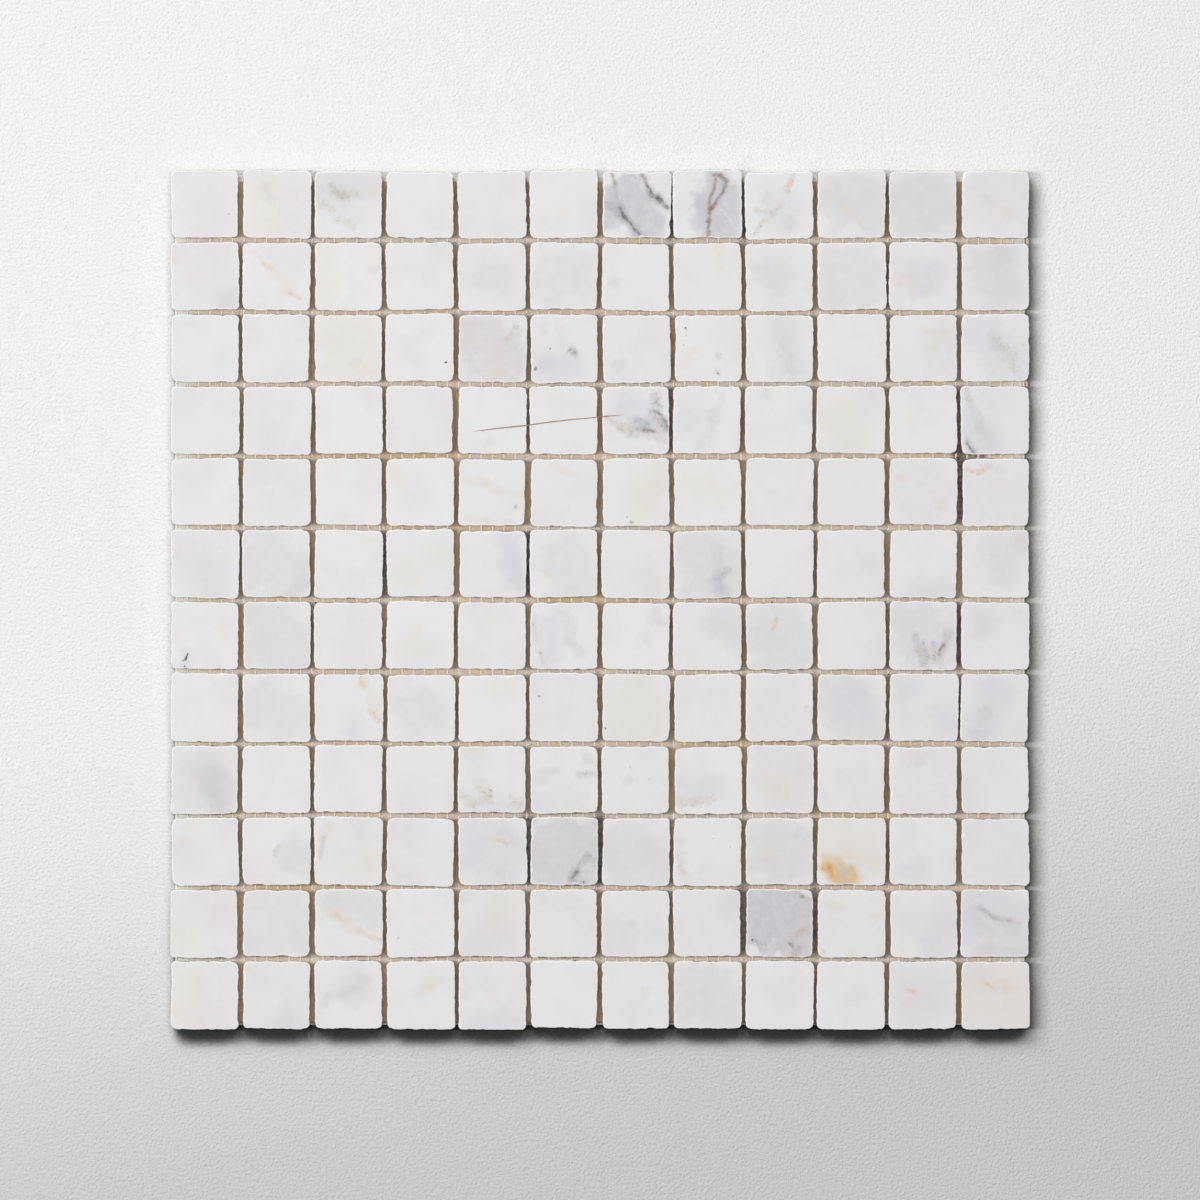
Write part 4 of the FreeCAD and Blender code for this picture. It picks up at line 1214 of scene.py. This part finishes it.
# Small things on the sheet: beads of adhesive pressed out at the right edge, crumbs of it where joints meet,
# a stray fibre over three tiles of the fourth row, and grit in the joints
strayThings = {
    # each bead: places in mm along it, and its radius there
    "beads": [
        [(151.0, 128.6, 1.6, 0.25), (151.2, 127.6, 2.2, 0.62), (151.25, 126.2, 2.6, 0.55), (151.3, 124.2, 2.4, 0.38),
         (151.3, 122.0, 2.2, 0.5), (151.2, 120.6, 2.0, 0.45), (151.1, 119.6, 1.8, 0.15)],
        [(151.2, 113.2, 3.0, 0.1), (151.4, 111.6, 3.4, 0.35), (151.4, 109.8, 3.2, 0.3), (151.3, 108.4, 3.0, 0.1)],
        [(151.1, 85.4, 2.4, 0.1), (151.35, 84.0, 2.8, 0.28), (151.3, 82.4, 2.6, 0.1)],
        [(150.8, 77.6, 1.6, 0.3), (151.1, 76.5, 2.0, 0.6), (151.0, 75.4, 1.6, 0.3)],
    ],
    "beadBump": 0.12 * mm,  # height, and then size
    "beadBumpSize": 1.1 * mm,
    "crumbs": 3,  # at each meeting of joints
    "crumbSpread": 1.3,  # mm from its middle
    "crumbSize": (0.25, 0.6),  # mm
    "crumbShape": (1.0, 0.8, 0.55),  # length, width and height to one another
    "crumbTurn": (0.4, 0.4, 6.28),  # the most that one is turned about each axis
    "crumbDents": {"Scale": 1.2},
    "crumbDented": (0.3, 0.7, 0.7, 1.2),  # that noise's span, and what it does to the radius
    "crumbSeed": 5,
    # the fibre: places in mm along it, and its half width there
    "fibre": [(-44.9, 59.6, 0.03), (-41.5, 60.0, 0.14), (-35.5, 60.8, 0.2), (-25.6, 61.7, 0.22), (-19.5, 62.7, 0.24),
              (-9.9, 63.8, 0.22), (0.0, 64.7, 0.19), (4.5, 65.2, 0.15), (8.5, 65.5, 0.04)],
    "fibreThickness": 0.05,  # mm; it is flat
    "fibreSag": 0.05 * mm,  # how much lower it lies towards its ends
    "fibreHighest": -12.7 * mm,  # across the sheet, the middle of the tile that it lies highest on
    "fibreSinks": (10 * mm, 24 * mm),  # from there: it comes down between these
    "coir": "#C39262",
    "coirMiddle": "#8E5E38",
    "coirStreak": 1.5 * mm,
    "coirRoughness": 0.6,
    # each grain's place in mm
    "grit": [(12.0, -25.7), (60.8, -0.9), (-100.7, -0.9), (-106.0, -50.7), (-48.4, -127.4), (102.2, -26.3),
             (24.3, -39.8), (26.2, -45.8)],
    "gritSize": (0.3, 0.45),  # mm
    "gritColour": "#1F1C1A",
    "gritPale": "#4A4038",
    "gritMottle": 0.3 * mm,
    "gritRoughness": 0.8,
    "gritSeed": 2,
}


def sweep(name, line, material):
    # a tapered round bar along the line's places; each place is x, y, z and radius in mm
    data = bpy.data.curves.new(name, "CURVE")
    data.dimensions = "3D"
    data.bevel_depth = mm
    data.bevel_resolution = 2
    data.use_fill_caps = True
    data.resolution_u = 6
    spline = data.splines.new("NURBS")
    spline.points.add(len(line) - 1)
    for point, (x, y, z, radius) in zip(spline.points, line):
        point.co = (x * mm, y * mm, z * mm, 1)
        point.radius = radius
    spline.order_u = 3
    spline.use_endpoint_u = True
    mesh = takeMesh(addObject(name + "Line", data))
    mesh.materials.append(material)
    for face in mesh.polygons:
        face.use_smooth = True
    return mesh


def keep(name, meshes):
    # joins the meshes in one piece that rides on the sheet
    joined = bmesh.new()
    for mesh in meshes:
        joined.from_mesh(mesh)
    whole = bpy.data.meshes.new(name)
    joined.to_mesh(whole)
    joined.free()
    whole.materials.append(meshes[0].materials[0])
    piece = addObject(name, whole)
    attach(piece, "root")


beads = [sweep("bead", line, glue) for line in strayThings["beads"]]
for bead in beads:
    for point in bead.vertices:
        point.co.x += strayThings["beadBump"] * noise.noise(point.co / strayThings["beadBumpSize"])
        point.co.x = min(point.co.x, cadHigh.x)
keep("adhesiveBeads", beads)


def buildCrumbTree():
    tree, given = newTree("scatteredCrumbs", "GeometryNodeTree", {
        "Geometry": "NodeSocketGeometry",
        "Smallest": "NodeSocketFloat",
        "Largest": "NodeSocketFloat",
        "Seed": "NodeSocketInt",
        "Material": "NodeSocketMaterial",
    }, "Geometry", "NodeSocketGeometry")
    crumb = addNode(tree, "GeometryNodeMeshIcoSphere", 1.0, 1)
    place = addNode(tree, "GeometryNodeInputPosition")
    dent = addNode(tree, "ShaderNodeTexNoise", named={"Vector": place, **strayThings["crumbDents"]})
    dented = addNode(tree, "ShaderNodeMapRange", dent, *strayThings["crumbDented"])
    dentedPlace = addNode(tree, "ShaderNodeVectorMath", place, named={"Scale": dented}, operation="SCALE")
    crumb = addNode(tree, "GeometryNodeSetPosition", crumb, named={"Position": dentedPlace})
    crumb = addNode(tree, "GeometryNodeSetShadeSmooth", crumb, named={"Shade Smooth": True})
    turn = addNode(tree, "FunctionNodeRandomValue", named={
        0: (0.0, 0.0, 0.0), 1: strayThings["crumbTurn"], "Seed": given["Seed"]}, data_type="FLOAT_VECTOR")
    size = addNode(tree, "FunctionNodeRandomValue", named={
        2: given["Smallest"], 3: given["Largest"], "Seed": given["Seed"]}, data_type="FLOAT")
    flat = addNode(tree, "ShaderNodeVectorMath", strayThings["crumbShape"], named={"Scale": size.outputs[1]},
                   operation="SCALE")
    crumbs = addNode(tree, "GeometryNodeInstanceOnPoints", given["Geometry"], named={
        "Instance": crumb, "Rotation": turn.outputs[0], "Scale": flat})
    crumbs = addNode(tree, "GeometryNodeRealizeInstances", crumbs)
    crumbs = addNode(tree, "GeometryNodeSetMaterial", crumbs, named={"Material": given["Material"]})
    addNode(tree, "NodeGroupOutput", crumbs)
    return tree


crumbTree = buildCrumbTree()
chance = random.Random(11)
crumbSpots = []
spread = strayThings["crumbSpread"]
for i in range(1, tilesPerRow):
    for j in range(1, len(rowNames)):
        for _ in range(strayThings["crumbs"]):
            x = firstTileX + (i - 0.5) * tilePitch + chance.uniform(-spread, spread) * mm
            y = firstTileY - (j - 0.5) * tilePitch + chance.uniform(-spread, spread) * mm
            crumbSpots.append((x, y, filmTop(x, y)))
spotMesh = bpy.data.meshes.new("crumbSpots")
spotMesh.from_pydata(crumbSpots, [], [])
small, large = strayThings["crumbSize"]
crumbs = growPiece("adhesiveCrumbs", spotMesh, crumbTree, {
    "Smallest": small * mm, "Largest": large * mm, "Seed": strayThings["crumbSeed"],
    "Material": glue})
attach(crumbs, "root")

# Grit: crushed stone and soot, nearly black to the eye
gritMaterial, tree, shader, objectPlace = newMaterial("darkGrit")
mottle = addNode(tree, "ShaderNodeTexNoise", named={"Vector": objectPlace, "Scale": 1 / strayThings["gritMottle"]})
gritColour = addNode(tree, "ShaderNodeMix", mottle, named={
    6: srgb(strayThings["gritColour"]), 7: srgb(strayThings["gritPale"])}, data_type="RGBA")
fillInputs(tree, shader, {"Base Color": gritColour.outputs[2], "Roughness": strayThings["gritRoughness"]})
small, large = strayThings["gritSize"]
gritSpots = [(x * mm, y * mm, filmTop(x * mm, y * mm) + small * mm / 2) for x, y in strayThings["grit"]]
gritMesh = bpy.data.meshes.new("gritSpots")
gritMesh.from_pydata(gritSpots, [], [])
grit = growPiece("jointGrit", gritMesh, crumbTree, {
    "Smallest": small * mm, "Largest": large * mm, "Seed": strayThings["gritSeed"],
    "Material": gritMaterial})
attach(grit, "root")

# Stray fibre: a flat shred of dry coir, copper brown and darker along its middle
fibreMaterial, tree, shader, objectPlace = newMaterial("dryCoir")
streakPlace = addNode(tree, "ShaderNodeVectorMath", objectPlace, (1.0, 8.0, 1.0), operation="MULTIPLY")
streak = addNode(tree, "ShaderNodeTexNoise", named={
    "Vector": streakPlace, "Scale": 1 / strayThings["coirStreak"], "Detail": 3.0})
streaky = addNode(tree, "ShaderNodeMapRange", streak, 0.35, 0.65, 0.0, 1.0)
coir = addNode(tree, "ShaderNodeMix", streaky, named={
    6: srgb(strayThings["coir"]), 7: srgb(strayThings["coirMiddle"])}, data_type="RGBA")
fillInputs(tree, shader, {"Base Color": coir.outputs[2], "Roughness": strayThings["coirRoughness"]})
fibreLine = [(x, y, 0.0, halfWidth) for x, y, halfWidth in strayThings["fibre"]]
fibre = sweep("strayFibre", fibreLine, fibreMaterial)
sink, highest = strayThings["fibreSag"], strayThings["fibreHighest"]
restZ = cadHigh.z - strayThings["fibreThickness"] * mm / 2
thickest = max(abs(point.co.z) for point in fibre.vertices)
for point in fibre.vertices:
    sag = sink * (1 - smoothRise(abs(point.co.x - highest), *strayThings["fibreSinks"])) - sink
    point.co.z = restZ + point.co.z / thickest * strayThings["fibreThickness"] * mm / 2 + sag
keep("strayFibre", [fibre])
print("small things made")
